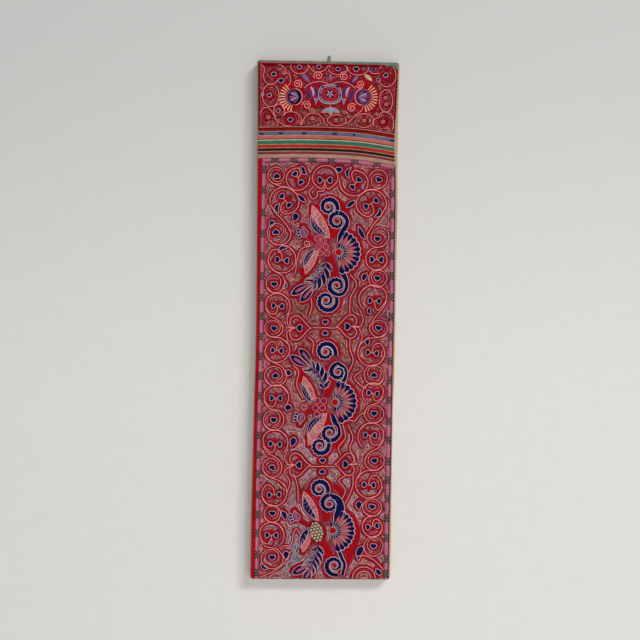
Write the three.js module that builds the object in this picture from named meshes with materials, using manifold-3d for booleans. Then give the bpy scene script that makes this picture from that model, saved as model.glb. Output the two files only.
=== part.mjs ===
// A long, narrow embroidered textile, made of two panels joined by eight strips, sewn face up on a cotton covered
// stretcher frame that hangs from a small steel wall hook.
// Millimetres. X runs to the right, Z up, and the embroidered face looks towards -Y.
// The origin is on the wall, behind the hook, at the height of the hanging's top edge.

import * as THREE from "three";
import { mergeVertices } from "three/addons/utils/BufferGeometryUtils.js";
import Module from "manifold-3d";

// Layers, counted out from the wall
const CLEARANCE = 0.3;
const HOOK_THICKNESS = 1.5;
const COTTON = 1.0;
const BAR_DEPTH = 14;
const TEXTILE = 1.5;

const HALF_GAP = CLEARANCE / 2;
const COTTON_BACK = -(HOOK_THICKNESS + CLEARANCE);
const BAR_BACK = COTTON_BACK - COTTON - CLEARANCE;
const BAR_FRONT = BAR_BACK - BAR_DEPTH;
const COTTON_INSIDE = BAR_FRONT - CLEARANCE;
const COTTON_FRONT = COTTON_INSIDE - COTTON;
const TEXTILE_BACK = COTTON_FRONT - CLEARANCE;
const TEXTILE_FRONT = TEXTILE_BACK - TEXTILE;

// The whole outline
const HEIGHT = 624;
const TOP_FALL = 0.8;
const BOTTOM_RISE = 1.6;
const CORNER_RADIUS = 4;
const CORNER_STEPS = 5;
const SECTION_HEIGHT = 20;
const SECTION_WIDTH = 12;

// How far down each row lies, where the two side edges run there, how much cotton is left bare on the right, and
// how wide the red band on the left of the tall panel is
const EDGE_ROWS = [
  { down: 0, left: -86.6, right: 84.6, bare: 1.2, band: 5.2 },
  { down: 60, left: -85.6, right: 83.7, bare: 2.4, band: 5.2 },
  { down: 100, left: -85.3, right: 83.5, bare: 3.9, band: 5.2 },
  { down: 140, left: -85.0, right: 83.8, bare: 2.2, band: 5.2 },
  { down: 180, left: -84.7, right: 84.3, bare: 2.4, band: 4.6 },
  { down: 240, left: -84.3, right: 83.8, bare: 1.9, band: 3.9 },
  { down: 300, left: -84.0, right: 83.6, bare: 1.4, band: 3.6 },
  { down: 360, left: -84.2, right: 83.5, bare: 1.9, band: 3.6 },
  { down: 420, left: -85.1, right: 82.4, bare: 1.2, band: 3.7 },
  { down: 480, left: -85.8, right: 82.0, bare: 1.0, band: 4.0 },
  { down: 540, left: -86.5, right: 82.0, bare: 1.7, band: 4.6 },
  { down: 624, left: -86.6, right: 81.8, bare: 1.7, band: 4.7 },
];

// The seam between the upper panel and the red strip: how far down it lies at each distance from the hook's line
const SEAM_ROWS = [
  { across: -90, down: 82.7 },
  { across: -35, down: 81.2 },
  { across: 1, down: 81.4 },
  { across: 37, down: 82.9 },
  { across: 77, down: 88.4 },
  { across: 90, down: 91.0 },
];

// What lies in from the outline
const EDGE_MARGIN = 0.9;
const TOP_MARGIN = 0.4;
const HEADING_WIDTH = 4.4;
const CORNER_CUT_WIDTH = 7;
const CORNER_CUT_HEIGHT = 4.4;
const CORNER_CUT_FOOT = 1.2;
const RIGHT_BAND = 1.3;
const TAPE_WIDTH = 5;

// The strips from the top down, by name, width and colour
const STRIPS = [
  { name: "strip_red", width: 4.0, colour: 0x8e1418 },
  { name: "strip_blue", width: 5.0, colour: 0x5d6480 },
  { name: "strip_coral", width: 5.4, colour: 0xb9705f },
  { name: "strip_green", width: 5.2, colour: 0x3f7660 },
  { name: "strip_orange", width: 4.3, colour: 0xb03a28 },
  { name: "strip_black", width: 4.0, colour: 0x241a14 },
  { name: "strip_mauve", width: 3.8, colour: 0x8a464e },
  { name: "strip_cream", width: 4.3, colour: 0xb39884 },
];

// The stretcher, a plain rectangle that stays clear of the uneven cloth round it
const BAR_WIDTH = 18;
const FRAME_LEFT = -79.6;
const FRAME_RIGHT = 77.6;
const FRAME_TOP = -4.4;
const FRAME_BOTTOM = -618.2;
const RETURN_WIDTH = 15;

// The hook
const HOOK_WIDTH = 3.2;
const HOOK_RISE = 9;
const HOOK_LIP = 12;
const HOOK_ROUND_STEPS = 8;

const wasm = await Module();
wasm.setup();

// A smooth curve through one column of a table
function columnCurve(rows, place, value) {
  const places = rows.map((row) => row[place]);
  const values = rows.map((row) => row[value]);
  const curve = new THREE.CubicInterpolant(places, values, 1);
  const last = places.length - 1;
  return (at) => curve.evaluate(THREE.MathUtils.clamp(at, places[0], places[last]))[0];
}

const shifted = (curve, by) => (at) => curve(at) + by;

const leftEdge = columnCurve(EDGE_ROWS, "down", "left");
const rightEdge = columnCurve(EDGE_ROWS, "down", "right");
const bareCotton = columnCurve(EDGE_ROWS, "down", "bare");
const bandWidth = columnCurve(EDGE_ROWS, "down", "band");
const seam = columnCurve(SEAM_ROWS, "across", "down");

// The top and bottom edges, each a slightly sloping line
const shareAcross = (across) => (across - leftEdge(0)) / (rightEdge(0) - leftEdge(0));
const topEdge = (across) => TOP_FALL * shareAcross(across);
const bottomEdge = (across) => HEIGHT - BOTTOM_RISE * shareAcross(across);

function solidOf(geometry) {
  geometry.deleteAttribute("normal");
  geometry.deleteAttribute("uv");
  const merged = mergeVertices(geometry);
  const vertProperties = new Float32Array(merged.attributes.position.array);
  const triVerts = new Uint32Array(merged.index.array);
  return new wasm.Manifold(new wasm.Mesh({ numProp: 3, vertProperties, triVerts }));
}

function geometryOf(solid) {
  const { vertProperties, triVerts } = solid.getMesh();
  const geometry = new THREE.BufferGeometry();
  geometry.setAttribute("position", new THREE.BufferAttribute(vertProperties, 3));
  geometry.setIndex(new THREE.BufferAttribute(triVerts, 1));
  geometry.computeVertexNormals();
  return geometry;
}

// A flat outline in X and Z, as thick in Y as from back to front
function plate(points, back, front) {
  const depth = back - front;
  const geometry = new THREE.ExtrudeGeometry(new THREE.Shape(points), { depth, bevelEnabled: false });
  geometry.rotateX(Math.PI / 2);
  geometry.translate(0, back, 0);
  return geometry;
}

// Even places from one end to the other, trimmed by the corner's radius at both
function places(from, to, step, trim) {
  const way = Math.sign(to - from);
  const first = from + way * trim;
  const last = to - way * trim;
  const count = Math.max(1, Math.round(Math.abs(last - first) / step));
  return Array.from({ length: count + 1 }, (_, i) => THREE.MathUtils.lerp(first, last, i / count));
}

// The place where a side curve meets a level curve
function corner(side, level) {
  const near = side(level(side(0)));
  const across = side(level(near));
  return { across, down: level(across) };
}

// An outline between two side curves and two level curves, with rounded corners if it has a radius
function outline({ left, right, top, bottom }, radius = 0) {
  const topLeft = corner(left, top);
  const topRight = corner(right, top);
  const bottomRight = corner(right, bottom);
  const bottomLeft = corner(left, bottom);
  const alongLevel = (curve, from, to) =>
    places(from.across, to.across, SECTION_WIDTH, radius).map((x) => new THREE.Vector2(x, -curve(x)));
  const alongSide = (curve, from, to) =>
    places(from.down, to.down, SECTION_HEIGHT, radius).map((down) => new THREE.Vector2(curve(down), -down));
  const runs = [
    { end: topRight, points: alongLevel(top, topLeft, topRight) },
    { end: bottomRight, points: alongSide(right, topRight, bottomRight) },
    { end: bottomLeft, points: alongLevel(bottom, bottomRight, bottomLeft) },
    { end: topLeft, points: alongSide(left, bottomLeft, topLeft) },
  ];
  return runs.flatMap(({ end, points }, i) => {
    if (radius === 0) {
      return points.slice(0, -1);
    }
    const next = runs[(i + 1) % runs.length].points[0];
    const peak = new THREE.Vector2(end.across, -end.down);
    const bend = new THREE.QuadraticBezierCurve(points[points.length - 1], peak, next);
    return [...points, ...bend.getPoints(CORNER_STEPS).slice(1, -1)];
  });
}

// The hanging's own outline, moved in by a margin
function wholeOutline(margin) {
  const sides = {
    left: shifted(leftEdge, margin),
    right: shifted(rightEdge, -margin),
    top: shifted(topEdge, margin),
    bottom: shifted(bottomEdge, -margin),
  };
  return outline(sides, Math.max(CORNER_RADIUS - margin, 1));
}

const hanging = new THREE.Group();

function addMesh(name, geometry, material) {
  const mesh = new THREE.Mesh(geometry, material);
  mesh.name = name;
  hanging.add(mesh);
}

function cloth(color) {
  return new THREE.MeshStandardMaterial({ color, roughness: 0.9, metalness: 0 });
}

// The cotton: a tray over the frame's face and sides, turned onto its back
function backingCloth() {
  const shell = solidOf(plate(wholeOutline(0), COTTON_BACK, COTTON_FRONT));
  const inside = solidOf(plate(wholeOutline(COTTON), COTTON_BACK - COTTON, COTTON_INSIDE));
  const opening = solidOf(plate(wholeOutline(RETURN_WIDTH), COTTON_BACK + COTTON, BAR_FRONT));
  return geometryOf(shell.subtract(inside).subtract(opening));
}

// The edges of the textile that is sewn on, and far edges for pieces that it trims
const SEWN = {
  left: shifted(leftEdge, EDGE_MARGIN),
  right: (down) => rightEdge(down) - bareCotton(down),
  top: shifted(topEdge, TOP_MARGIN),
  bottom: shifted(bottomEdge, -EDGE_MARGIN),
};
const FAR = {
  left: shifted(leftEdge, -CORNER_RADIUS),
  right: shifted(rightEdge, CORNER_RADIUS),
  top: shifted(topEdge, -CORNER_RADIUS),
  bottom: shifted(bottomEdge, CORNER_RADIUS),
};
const sewnShape = solidOf(plate(outline(SEWN, CORNER_RADIUS - EDGE_MARGIN), TEXTILE_BACK, TEXTILE_FRONT));

// A thicker cutter between seams, half a gap inside each one
function cutter({ left, right, top, bottom }) {
  const sides = {
    left: shifted(left, HALF_GAP),
    right: shifted(right, -HALF_GAP),
    top: shifted(top, HALF_GAP),
    bottom: shifted(bottom, -HALF_GAP),
  };
  return solidOf(plate(outline(sides), TEXTILE_BACK + CLEARANCE, TEXTILE_FRONT - CLEARANCE));
}

const sewnPiece = (sides) => sewnShape.intersect(cutter({ ...FAR, ...sides }));

// The top right corner, where the heading fills a slanting cut in the upper panel
const headingSeam = shifted(SEWN.top, HEADING_WIDTH);
function cornerCut(growth) {
  const edge = SEWN.right(HEADING_WIDTH);
  const inner = edge - CORNER_CUT_WIDTH - growth;
  const foot = edge - CORNER_CUT_FOOT;
  const low = -headingSeam(edge) - CORNER_CUT_HEIGHT - growth;
  const points = [
    new THREE.Vector2(inner, CORNER_RADIUS),
    new THREE.Vector2(FAR.right(0), CORNER_RADIUS),
    new THREE.Vector2(FAR.right(0), low),
    new THREE.Vector2(foot, low),
    new THREE.Vector2(inner, -headingSeam(inner) - growth),
  ];
  return solidOf(plate(points, TEXTILE_BACK + CLEARANCE, TEXTILE_FRONT - CLEARANCE));
}

const straightHeading = sewnPiece({ bottom: headingSeam });
const headingCorner = sewnShape.intersect(cornerCut(-HALF_GAP));
const wholePanel = sewnPiece({ top: headingSeam, bottom: seam });

addMesh("backing_cloth", backingCloth(), cloth(0xcdc0a6));
addMesh("heading_strip", geometryOf(straightHeading.add(headingCorner)), cloth(0x6f8d78));
addMesh("upper_panel", geometryOf(wholePanel.subtract(cornerCut(HALF_GAP))), cloth(0x96303f));

// The eight strips, each below the last
let stripTop = seam;
for (const { name, width, colour } of STRIPS) {
  const stripBottom = shifted(stripTop, width);
  addMesh(name, geometryOf(sewnPiece({ top: stripTop, bottom: stripBottom })), cloth(colour));
  stripTop = stripBottom;
}

// The tall panel with its bands and tapes
const bandSeam = (down) => SEWN.left(down) + bandWidth(down);
const leftTapeSeam = shifted(bandSeam, TAPE_WIDTH);
const thinBandSeam = shifted(SEWN.right, -RIGHT_BAND);
const rightTapeSeam = shifted(thinBandSeam, -TAPE_WIDTH);
const topTapeSeam = shifted(stripTop, TAPE_WIDTH);
const LOWER_PIECES = [
  { name: "binding_left", colour: 0x9c1a26, sides: { top: stripTop, right: bandSeam } },
  { name: "binding_right", colour: 0x7c1a20, sides: { top: stripTop, left: thinBandSeam } },
  {
    name: "border_top",
    colour: 0x9a6674,
    sides: { top: stripTop, bottom: topTapeSeam, left: bandSeam, right: thinBandSeam },
  },
  { name: "border_left", colour: 0x9a6674, sides: { top: topTapeSeam, left: bandSeam, right: leftTapeSeam } },
  { name: "border_right", colour: 0x9a6674, sides: { top: topTapeSeam, left: rightTapeSeam, right: thinBandSeam } },
  { name: "lower_panel", colour: 0x8c4a54, sides: { top: topTapeSeam, left: leftTapeSeam, right: rightTapeSeam } },
];
for (const { name, colour, sides } of LOWER_PIECES) {
  addMesh(name, geometryOf(sewnPiece(sides)), cloth(colour));
}

// The stretcher's bars, mitred at the frame's corners
const FRAME_CORNERS = [
  { at: new THREE.Vector2(FRAME_LEFT, FRAME_TOP), inward: new THREE.Vector2(1, -1) },
  { at: new THREE.Vector2(FRAME_RIGHT, FRAME_TOP), inward: new THREE.Vector2(-1, -1) },
  { at: new THREE.Vector2(FRAME_RIGHT, FRAME_BOTTOM), inward: new THREE.Vector2(-1, 1) },
  { at: new THREE.Vector2(FRAME_LEFT, FRAME_BOTTOM), inward: new THREE.Vector2(1, 1) },
];
["stretcher_top", "stretcher_right", "stretcher_bottom", "stretcher_left"].forEach((name, i) => {
  const start = FRAME_CORNERS[i];
  const end = FRAME_CORNERS[(i + 1) % FRAME_CORNERS.length];
  const inset = end.at.clone().sub(start.at).setLength(HALF_GAP * Math.SQRT2);
  const points = [
    start.at.clone().add(inset),
    end.at.clone().sub(inset),
    end.at.clone().addScaledVector(end.inward, BAR_WIDTH).sub(inset),
    start.at.clone().addScaledVector(start.inward, BAR_WIDTH).add(inset),
  ];
  const pine = new THREE.MeshStandardMaterial({ color: 0xd2ac78, roughness: 0.7, metalness: 0 });
  addMesh(name, plate(points, BAR_BACK, BAR_FRONT), pine);
});

// The hook: a flat strip against the wall, round at its top, with a lip under the top bar
function wallHook() {
  const half = HOOK_WIDTH / 2;
  const lipTop = FRAME_TOP - BAR_WIDTH - CLEARANCE;
  const strip = new THREE.Shape();
  strip.moveTo(-half, lipTop - HOOK_THICKNESS);
  strip.lineTo(half, lipTop - HOOK_THICKNESS);
  strip.lineTo(half, HOOK_RISE - half);
  strip.absarc(0, HOOK_RISE - half, half, 0, Math.PI, false);
  const flat = plate(strip.getPoints(HOOK_ROUND_STEPS), 0, -HOOK_THICKNESS);
  const lip = new THREE.BoxGeometry(HOOK_WIDTH, HOOK_LIP, HOOK_THICKNESS);
  lip.translate(0, -HOOK_LIP / 2, lipTop - HOOK_THICKNESS / 2);
  return geometryOf(solidOf(flat).add(solidOf(lip)));
}
const steel = new THREE.MeshStandardMaterial({ color: 0x8d9090, roughness: 0.35, metalness: 1 });
addMesh("wall_hook", wallHook(), steel);

export default hanging;
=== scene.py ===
"""Looks of the embroidered wall hanging: sewn textile, cotton tray, stretcher, hook, wall and light."""
import math

import bpy
import numpy as np
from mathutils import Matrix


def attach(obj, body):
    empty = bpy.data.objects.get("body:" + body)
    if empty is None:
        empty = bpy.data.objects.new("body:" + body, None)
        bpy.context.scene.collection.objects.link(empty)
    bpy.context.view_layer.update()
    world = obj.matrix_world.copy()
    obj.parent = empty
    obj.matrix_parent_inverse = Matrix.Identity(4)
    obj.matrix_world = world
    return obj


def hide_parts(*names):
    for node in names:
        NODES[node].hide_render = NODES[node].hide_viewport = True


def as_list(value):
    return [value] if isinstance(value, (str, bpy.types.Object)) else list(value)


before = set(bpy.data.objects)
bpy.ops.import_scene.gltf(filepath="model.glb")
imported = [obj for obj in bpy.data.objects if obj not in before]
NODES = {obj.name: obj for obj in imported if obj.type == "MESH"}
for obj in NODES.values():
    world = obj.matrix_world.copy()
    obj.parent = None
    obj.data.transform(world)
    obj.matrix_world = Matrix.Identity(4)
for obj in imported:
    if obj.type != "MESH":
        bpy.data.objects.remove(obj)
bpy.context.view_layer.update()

RNG = np.random.default_rng(41)
MM = 0.001

# Layers, in mm out from the wall, as the CAD has them
COTTON_BACK = -1.8
COTTON_FRONT = -18.4
TEXTILE_BACK = -18.7
TEXTILE_FRONT = -20.2
GROUND_FRONT = -19.7
HALF_GAP = 0.15

# The outline, in mm across from the hook's line and down from the top edge, as the CAD has it
HEIGHT = 624
TOP_FALL = 0.8
BOTTOM_RISE = 1.6
CORNER_RADIUS = 4
EDGE_COLUMNS = ("down", "left", "right", "bare", "band")
EDGE_ROWS = (
    (0, -86.6, 84.6, 1.2, 5.2),
    (60, -85.6, 83.7, 2.4, 5.2),
    (100, -85.3, 83.5, 3.9, 5.2),
    (140, -85.0, 83.8, 2.2, 5.2),
    (180, -84.7, 84.3, 2.4, 4.6),
    (240, -84.3, 83.8, 1.9, 3.9),
    (300, -84.0, 83.6, 1.4, 3.6),
    (360, -84.2, 83.5, 1.9, 3.6),
    (420, -85.1, 82.4, 1.2, 3.7),
    (480, -85.8, 82.0, 1.0, 4.0),
    (540, -86.5, 82.0, 1.7, 4.6),
    (624, -86.6, 81.8, 1.7, 4.7),
)
SEAM_COLUMNS = ("across", "down")
SEAM_ROWS = ((-90, 82.7), (-35, 81.2), (1, 81.4), (37, 82.9), (77, 88.4), (90, 91.0))
EDGE_MARGIN = 0.9
TOP_MARGIN = 0.4
HEADING_WIDTH = 4.4
CORNER_CUT_WIDTH = 7
CORNER_CUT_HEIGHT = 4.4
CORNER_CUT_FOOT = 1.2
RIGHT_BAND = 1.3
TAPE_WIDTH = 5
STRIP_WIDTHS = {
    "strip_red": 4.0,
    "strip_blue": 5.0,
    "strip_coral": 5.4,
    "strip_green": 5.2,
    "strip_orange": 4.3,
    "strip_black": 4.0,
    "strip_mauve": 3.8,
    "strip_cream": 4.3,
}


def linear(red, green, blue):
    """An sRGB colour out of 255 as the renderer's linear values."""
    share = np.array([red, green, blue], float) / 255
    return tuple(np.where(share <= 0.04045, share / 12.92, ((share + 0.055) / 1.055) ** 2.4))


# Silk and cotton colours
CRIMSON = linear(162, 5, 28)
DEEP_RED = linear(116, 4, 22)
BRIGHT_RED = linear(166, 8, 24)
PINK_CORD = linear(255, 168, 166)
NAVY = linear(4, 10, 72)
PALE = linear(230, 212, 226)
SALMON = linear(236, 150, 142)
MAUVE = linear(166, 92, 120)
ROSE = linear(190, 82, 98)
MAGENTA = linear(146, 20, 70)
PURPLE = linear(78, 36, 104)
LILAC = linear(198, 164, 194)
BEIGE = linear(190, 150, 128)
SAND = linear(228, 180, 148)
BLUSH = linear(226, 136, 144)
OLIVE = linear(146, 112, 66)
GREY_BLUE = linear(146, 156, 184)
TEAL = linear(104, 190, 206)
CREAM = linear(222, 200, 176)
BLACK = linear(16, 12, 12)
DARK_RED = linear(72, 2, 16)
DUSTY_PINK = linear(158, 92, 102)
DULL_LILAC = linear(150, 100, 148)
DULL_BLUE = linear(104, 106, 150)
DIM_ROSE = linear(140, 70, 84)
UMBER = linear(150, 92, 50)
WINE = linear(92, 22, 36)
PEACH = linear(250, 194, 166)
FAWN = linear(176, 120, 112)
PLUM_RED = linear(162, 34, 84)


def smooth_curve(rows, columns, place, value):
    """The CAD's curve through a table: each slope is the mean of the two chords that meet there."""
    places = np.array([row[columns.index(place)] for row in rows], float)
    values = np.array([row[columns.index(value)] for row in rows], float)
    chords = np.diff(values) / np.diff(places)
    slopes = np.concatenate([chords[:1], (chords[:-1] + chords[1:]) / 2, chords[-1:]])

    def curve(at):
        at = np.clip(at, places[0], places[-1])
        first = np.clip(np.searchsorted(places, at, side="right") - 1, 0, len(chords) - 1)
        step = places[first + 1] - places[first]
        part = (at - places[first]) / step
        rest = 1 - part
        level = values[first] * (1 + 2 * part) * rest**2 + values[first + 1] * part**2 * (3 - 2 * part)
        lean = slopes[first] * part * rest**2 - slopes[first + 1] * part**2 * rest
        return level + lean * step

    return curve


left_edge = smooth_curve(EDGE_ROWS, EDGE_COLUMNS, "down", "left")
right_edge = smooth_curve(EDGE_ROWS, EDGE_COLUMNS, "down", "right")
bare_cotton = smooth_curve(EDGE_ROWS, EDGE_COLUMNS, "down", "bare")
band_width = smooth_curve(EDGE_ROWS, EDGE_COLUMNS, "down", "band")
seam = smooth_curve(SEAM_ROWS, SEAM_COLUMNS, "across", "down")


def shifted(curve, by):
    """A curve moved by some mm."""
    return lambda at: curve(at) + by


def share_across(across):
    """How far a place is across the top, from 0 on the left to 1 on the right."""
    return (across - left_edge(0)) / (right_edge(0) - left_edge(0))


def top_edge(across):
    return TOP_FALL * share_across(across)


def bottom_edge(across):
    return HEIGHT - BOTTOM_RISE * share_across(across)


sewn_left = shifted(left_edge, EDGE_MARGIN)
sewn_top = shifted(top_edge, TOP_MARGIN)
sewn_bottom = shifted(bottom_edge, -EDGE_MARGIN)


def sewn_right(down):
    return right_edge(down) - bare_cotton(down)


def band_seam(down):
    return sewn_left(down) + band_width(down)


left_tape_seam = shifted(band_seam, TAPE_WIDTH)
thin_band_seam = shifted(sewn_right, -RIGHT_BAND)
right_tape_seam = shifted(thin_band_seam, -TAPE_WIDTH)
strips_bottom = shifted(seam, sum(STRIP_WIDTHS.values()))
top_tape_seam = shifted(strips_bottom, TAPE_WIDTH)


def heading_seam(across):
    """The heading's lower edge, which slants down at the right end."""
    edge = sewn_right(HEADING_WIDTH)
    inner = edge - CORNER_CUT_WIDTH
    slant = np.clip((across - inner) / (CORNER_CUT_WIDTH - CORNER_CUT_FOOT), 0, 1)
    return sewn_top(across) + HEADING_WIDTH + slant * CORNER_CUT_HEIGHT


def unevenness(across, down):
    """How far the cloth's face stands out, in mm, where the padding under it is uneven."""
    slow = np.sin(across * 0.045 + 0.8) * np.cos(down * 0.021 + 0.4)
    quick = np.sin(across * 0.11 + down * 0.07) * np.sin(down * 0.13 - across * 0.05 + 1.7)
    return 0.16 * slow + 0.07 * quick


class Shape:
    """Vertices, faces, stitch coordinates and thread colours of one piece, gathered a part at a time."""

    def __init__(self):
        self.points = []
        self.coords = []
        self.tints = []
        self.faces = []
        self.total = 0

    def add(self, across, down, out, coords, tint, faces):
        """One part: its places and stitch coordinates in mm, its colour, and its faces as lists of
        corners."""
        across = np.ravel(across)
        count = len(across)
        points = np.stack([across, np.ravel(out), -np.ravel(down)], 1) * MM
        self.points.append(points)
        self.coords.append(np.reshape(coords, (count, 2)))
        self.tints.append(np.broadcast_to(np.asarray(tint, float), (count, 3)))
        for face in faces:
            self.faces.append(np.asarray(face, int) + self.total)
        self.total += count

    def build(self, name, material, slot):
        """Makes the Blender object, which rides on the part's one body."""
        points = np.concatenate(self.points)
        sizes = np.concatenate([np.full(len(group), group.shape[1]) for group in self.faces])
        corners = np.concatenate([group.ravel() for group in self.faces])
        mesh = bpy.data.meshes.new(name)
        mesh.vertices.add(len(points))
        mesh.vertices.foreach_set("co", points.astype(np.float32).ravel())
        mesh.loops.add(len(corners))
        mesh.loops.foreach_set("vertex_index", corners.astype(np.int32))
        mesh.polygons.add(len(sizes))
        mesh.polygons.foreach_set("loop_start", (np.cumsum(sizes) - sizes).astype(np.int32))
        mesh.polygons.foreach_set("use_smooth", np.ones(len(sizes), bool))
        layer = mesh.uv_layers.new(name="stitches")
        layer.data.foreach_set("uv", np.concatenate(self.coords)[corners].astype(np.float32).ravel())
        tint = mesh.attributes.new("tint", "FLOAT_COLOR", "POINT")
        colours = np.ones((len(points), 4), np.float32)
        colours[:, :3] = np.concatenate(self.tints)
        tint.data.foreach_set("color", colours.ravel())
        mesh.update(calc_edges=True)
        mesh.validate()
        piece = bpy.data.objects.new(name, mesh)
        bpy.context.scene.collection.objects.link(piece)
        mesh.materials.append(material)
        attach(piece, "root")
        return piece


def grid_faces(rows, columns, wrap=False):
    """Quads over a grid of rows by columns, joined round in the column direction if it wraps."""
    row = np.arange(rows - 1)[:, None]
    column = np.arange(columns if wrap else columns - 1)[None, :]
    after = (column + 1) % columns
    near, far = row * columns, (row + 1) * columns
    corners = (near + column, near + after, far + after, far + column)
    return np.stack([np.broadcast_to(c, (rows - 1, column.shape[1])).ravel() for c in corners], 1)


# Cross sections: across as a share of the half width, and rise as a share of the height
CORD = np.array([(-1, -0.5), (-0.8, 0.5), (0, 1), (0.8, 0.5), (1, -0.5)], float)
BAND = np.array([(-1, -0.5), (-0.82, 0.8), (-0.42, 1), (0, 0.72), (0.42, 1), (0.82, 0.8), (1, -0.5)], float)
THREAD = np.array([(-1, -0.6), (0, 1), (1, -0.6)], float)


def directions(path, closed=False):
    """The unit direction of travel at each point of a path."""
    if closed:
        step = np.roll(path, -1, 0) - np.roll(path, 1, 0)
    else:
        step = np.gradient(path, axis=0)
    return step / np.maximum(np.linalg.norm(step, axis=1, keepdims=True), 1e-9)


def sideways(path, closed=False):
    """Unit vectors to one side of a path."""
    ahead = directions(path, closed)
    return np.stack([-ahead[:, 1], ahead[:, 0]], 1)


def lengths(path):
    """How far along a path each of its points is."""
    return np.concatenate([[0], np.cumsum(np.linalg.norm(np.diff(path, axis=0), axis=1))])


def evened(path, step):
    """The same path with its points an even distance apart."""
    path = np.asarray(path, float)
    run = lengths(path)
    count = max(3, int(round(run[-1] / step)) + 1)
    at = np.linspace(0, run[-1], count)
    return np.stack([np.interp(at, run, path[:, 0]), np.interp(at, run, path[:, 1])], 1)


def sweep(shape, path, half, rise, lift, tint, section=CORD, closed=False, within=None):
    """A closed ridge that follows a path on the cloth's face, within a panel's edges where one is given."""
    path = np.asarray(path, float)
    count = len(path)
    if count < 3:
        return
    side = sideways(path, closed)
    half = np.broadcast_to(np.asarray(half, float), (count,))
    fall = half / max(half.max(), 1e-6)
    across = path[:, :1] + side[:, :1] * half[:, None] * section[None, :, 0]
    down = path[:, 1:] + side[:, 1:] * half[:, None] * section[None, :, 0]
    if within is not None:
        across, down = within(across, down)
    height = lift + rise * fall[:, None] ** 0.7 * section[None, :, 1]
    out = GROUND_FRONT - unevenness(across, down) - height
    run = np.broadcast_to(lengths(path)[:, None], across.shape)
    coords = np.stack([run, half[:, None] * section[None, :, 0]], -1)
    columns = len(section)
    faces = [grid_faces(count, columns, wrap=True)]
    if closed:
        last = (count - 1) * columns
        here = np.arange(columns)
        after = (here + 1) % columns
        faces.append(np.stack([last + here, last + after, after, here], 1))
    else:
        faces.append(np.arange(columns)[None, ::-1])
        faces.append((count - 1) * columns + np.arange(columns)[None, :])
    if np.ndim(tint) == 2:
        tint = np.repeat(tint, columns, axis=0)
    shape.add(across, down, out, coords, tint, faces)


def blob(shape, outline, rise, lift, tint, angle=0.0):
    """A padded filled shape inside a closed outline, domed towards its middle."""
    outline = np.asarray(outline, float)
    count = len(outline)
    centre = outline.mean(0)
    rings = ((1.0, -0.5), (0.97, 0.55), (0.8, 0.85), (0.45, 1.0))
    places = [centre + (outline - centre) * size for size, _ in rings] + [centre[None, :]]
    heights = [np.full(count, height) for _, height in rings] + [np.ones(1)]
    flat = np.concatenate(places)
    height = lift + rise * np.concatenate(heights)
    out = GROUND_FRONT - unevenness(flat[:, 0], flat[:, 1]) - height
    along = flat[:, 0] * math.cos(angle) + flat[:, 1] * math.sin(angle)
    aside = flat[:, 1] * math.cos(angle) - flat[:, 0] * math.sin(angle)
    turned = np.stack([along, aside], 1)
    ring = np.arange(count)
    last = (len(rings) - 1) * count
    crown = np.stack([last + ring, last + (ring + 1) % count, np.full(count, len(rings) * count)], 1)
    faces = [grid_faces(len(rings), count, wrap=True), crown, ring[None, ::-1]]
    shape.add(flat[:, 0], flat[:, 1], out, turned, tint, faces)


# How far the embroidery stays inside a panel's edges, in mm
EDGE_GAP = 0.4


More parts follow.
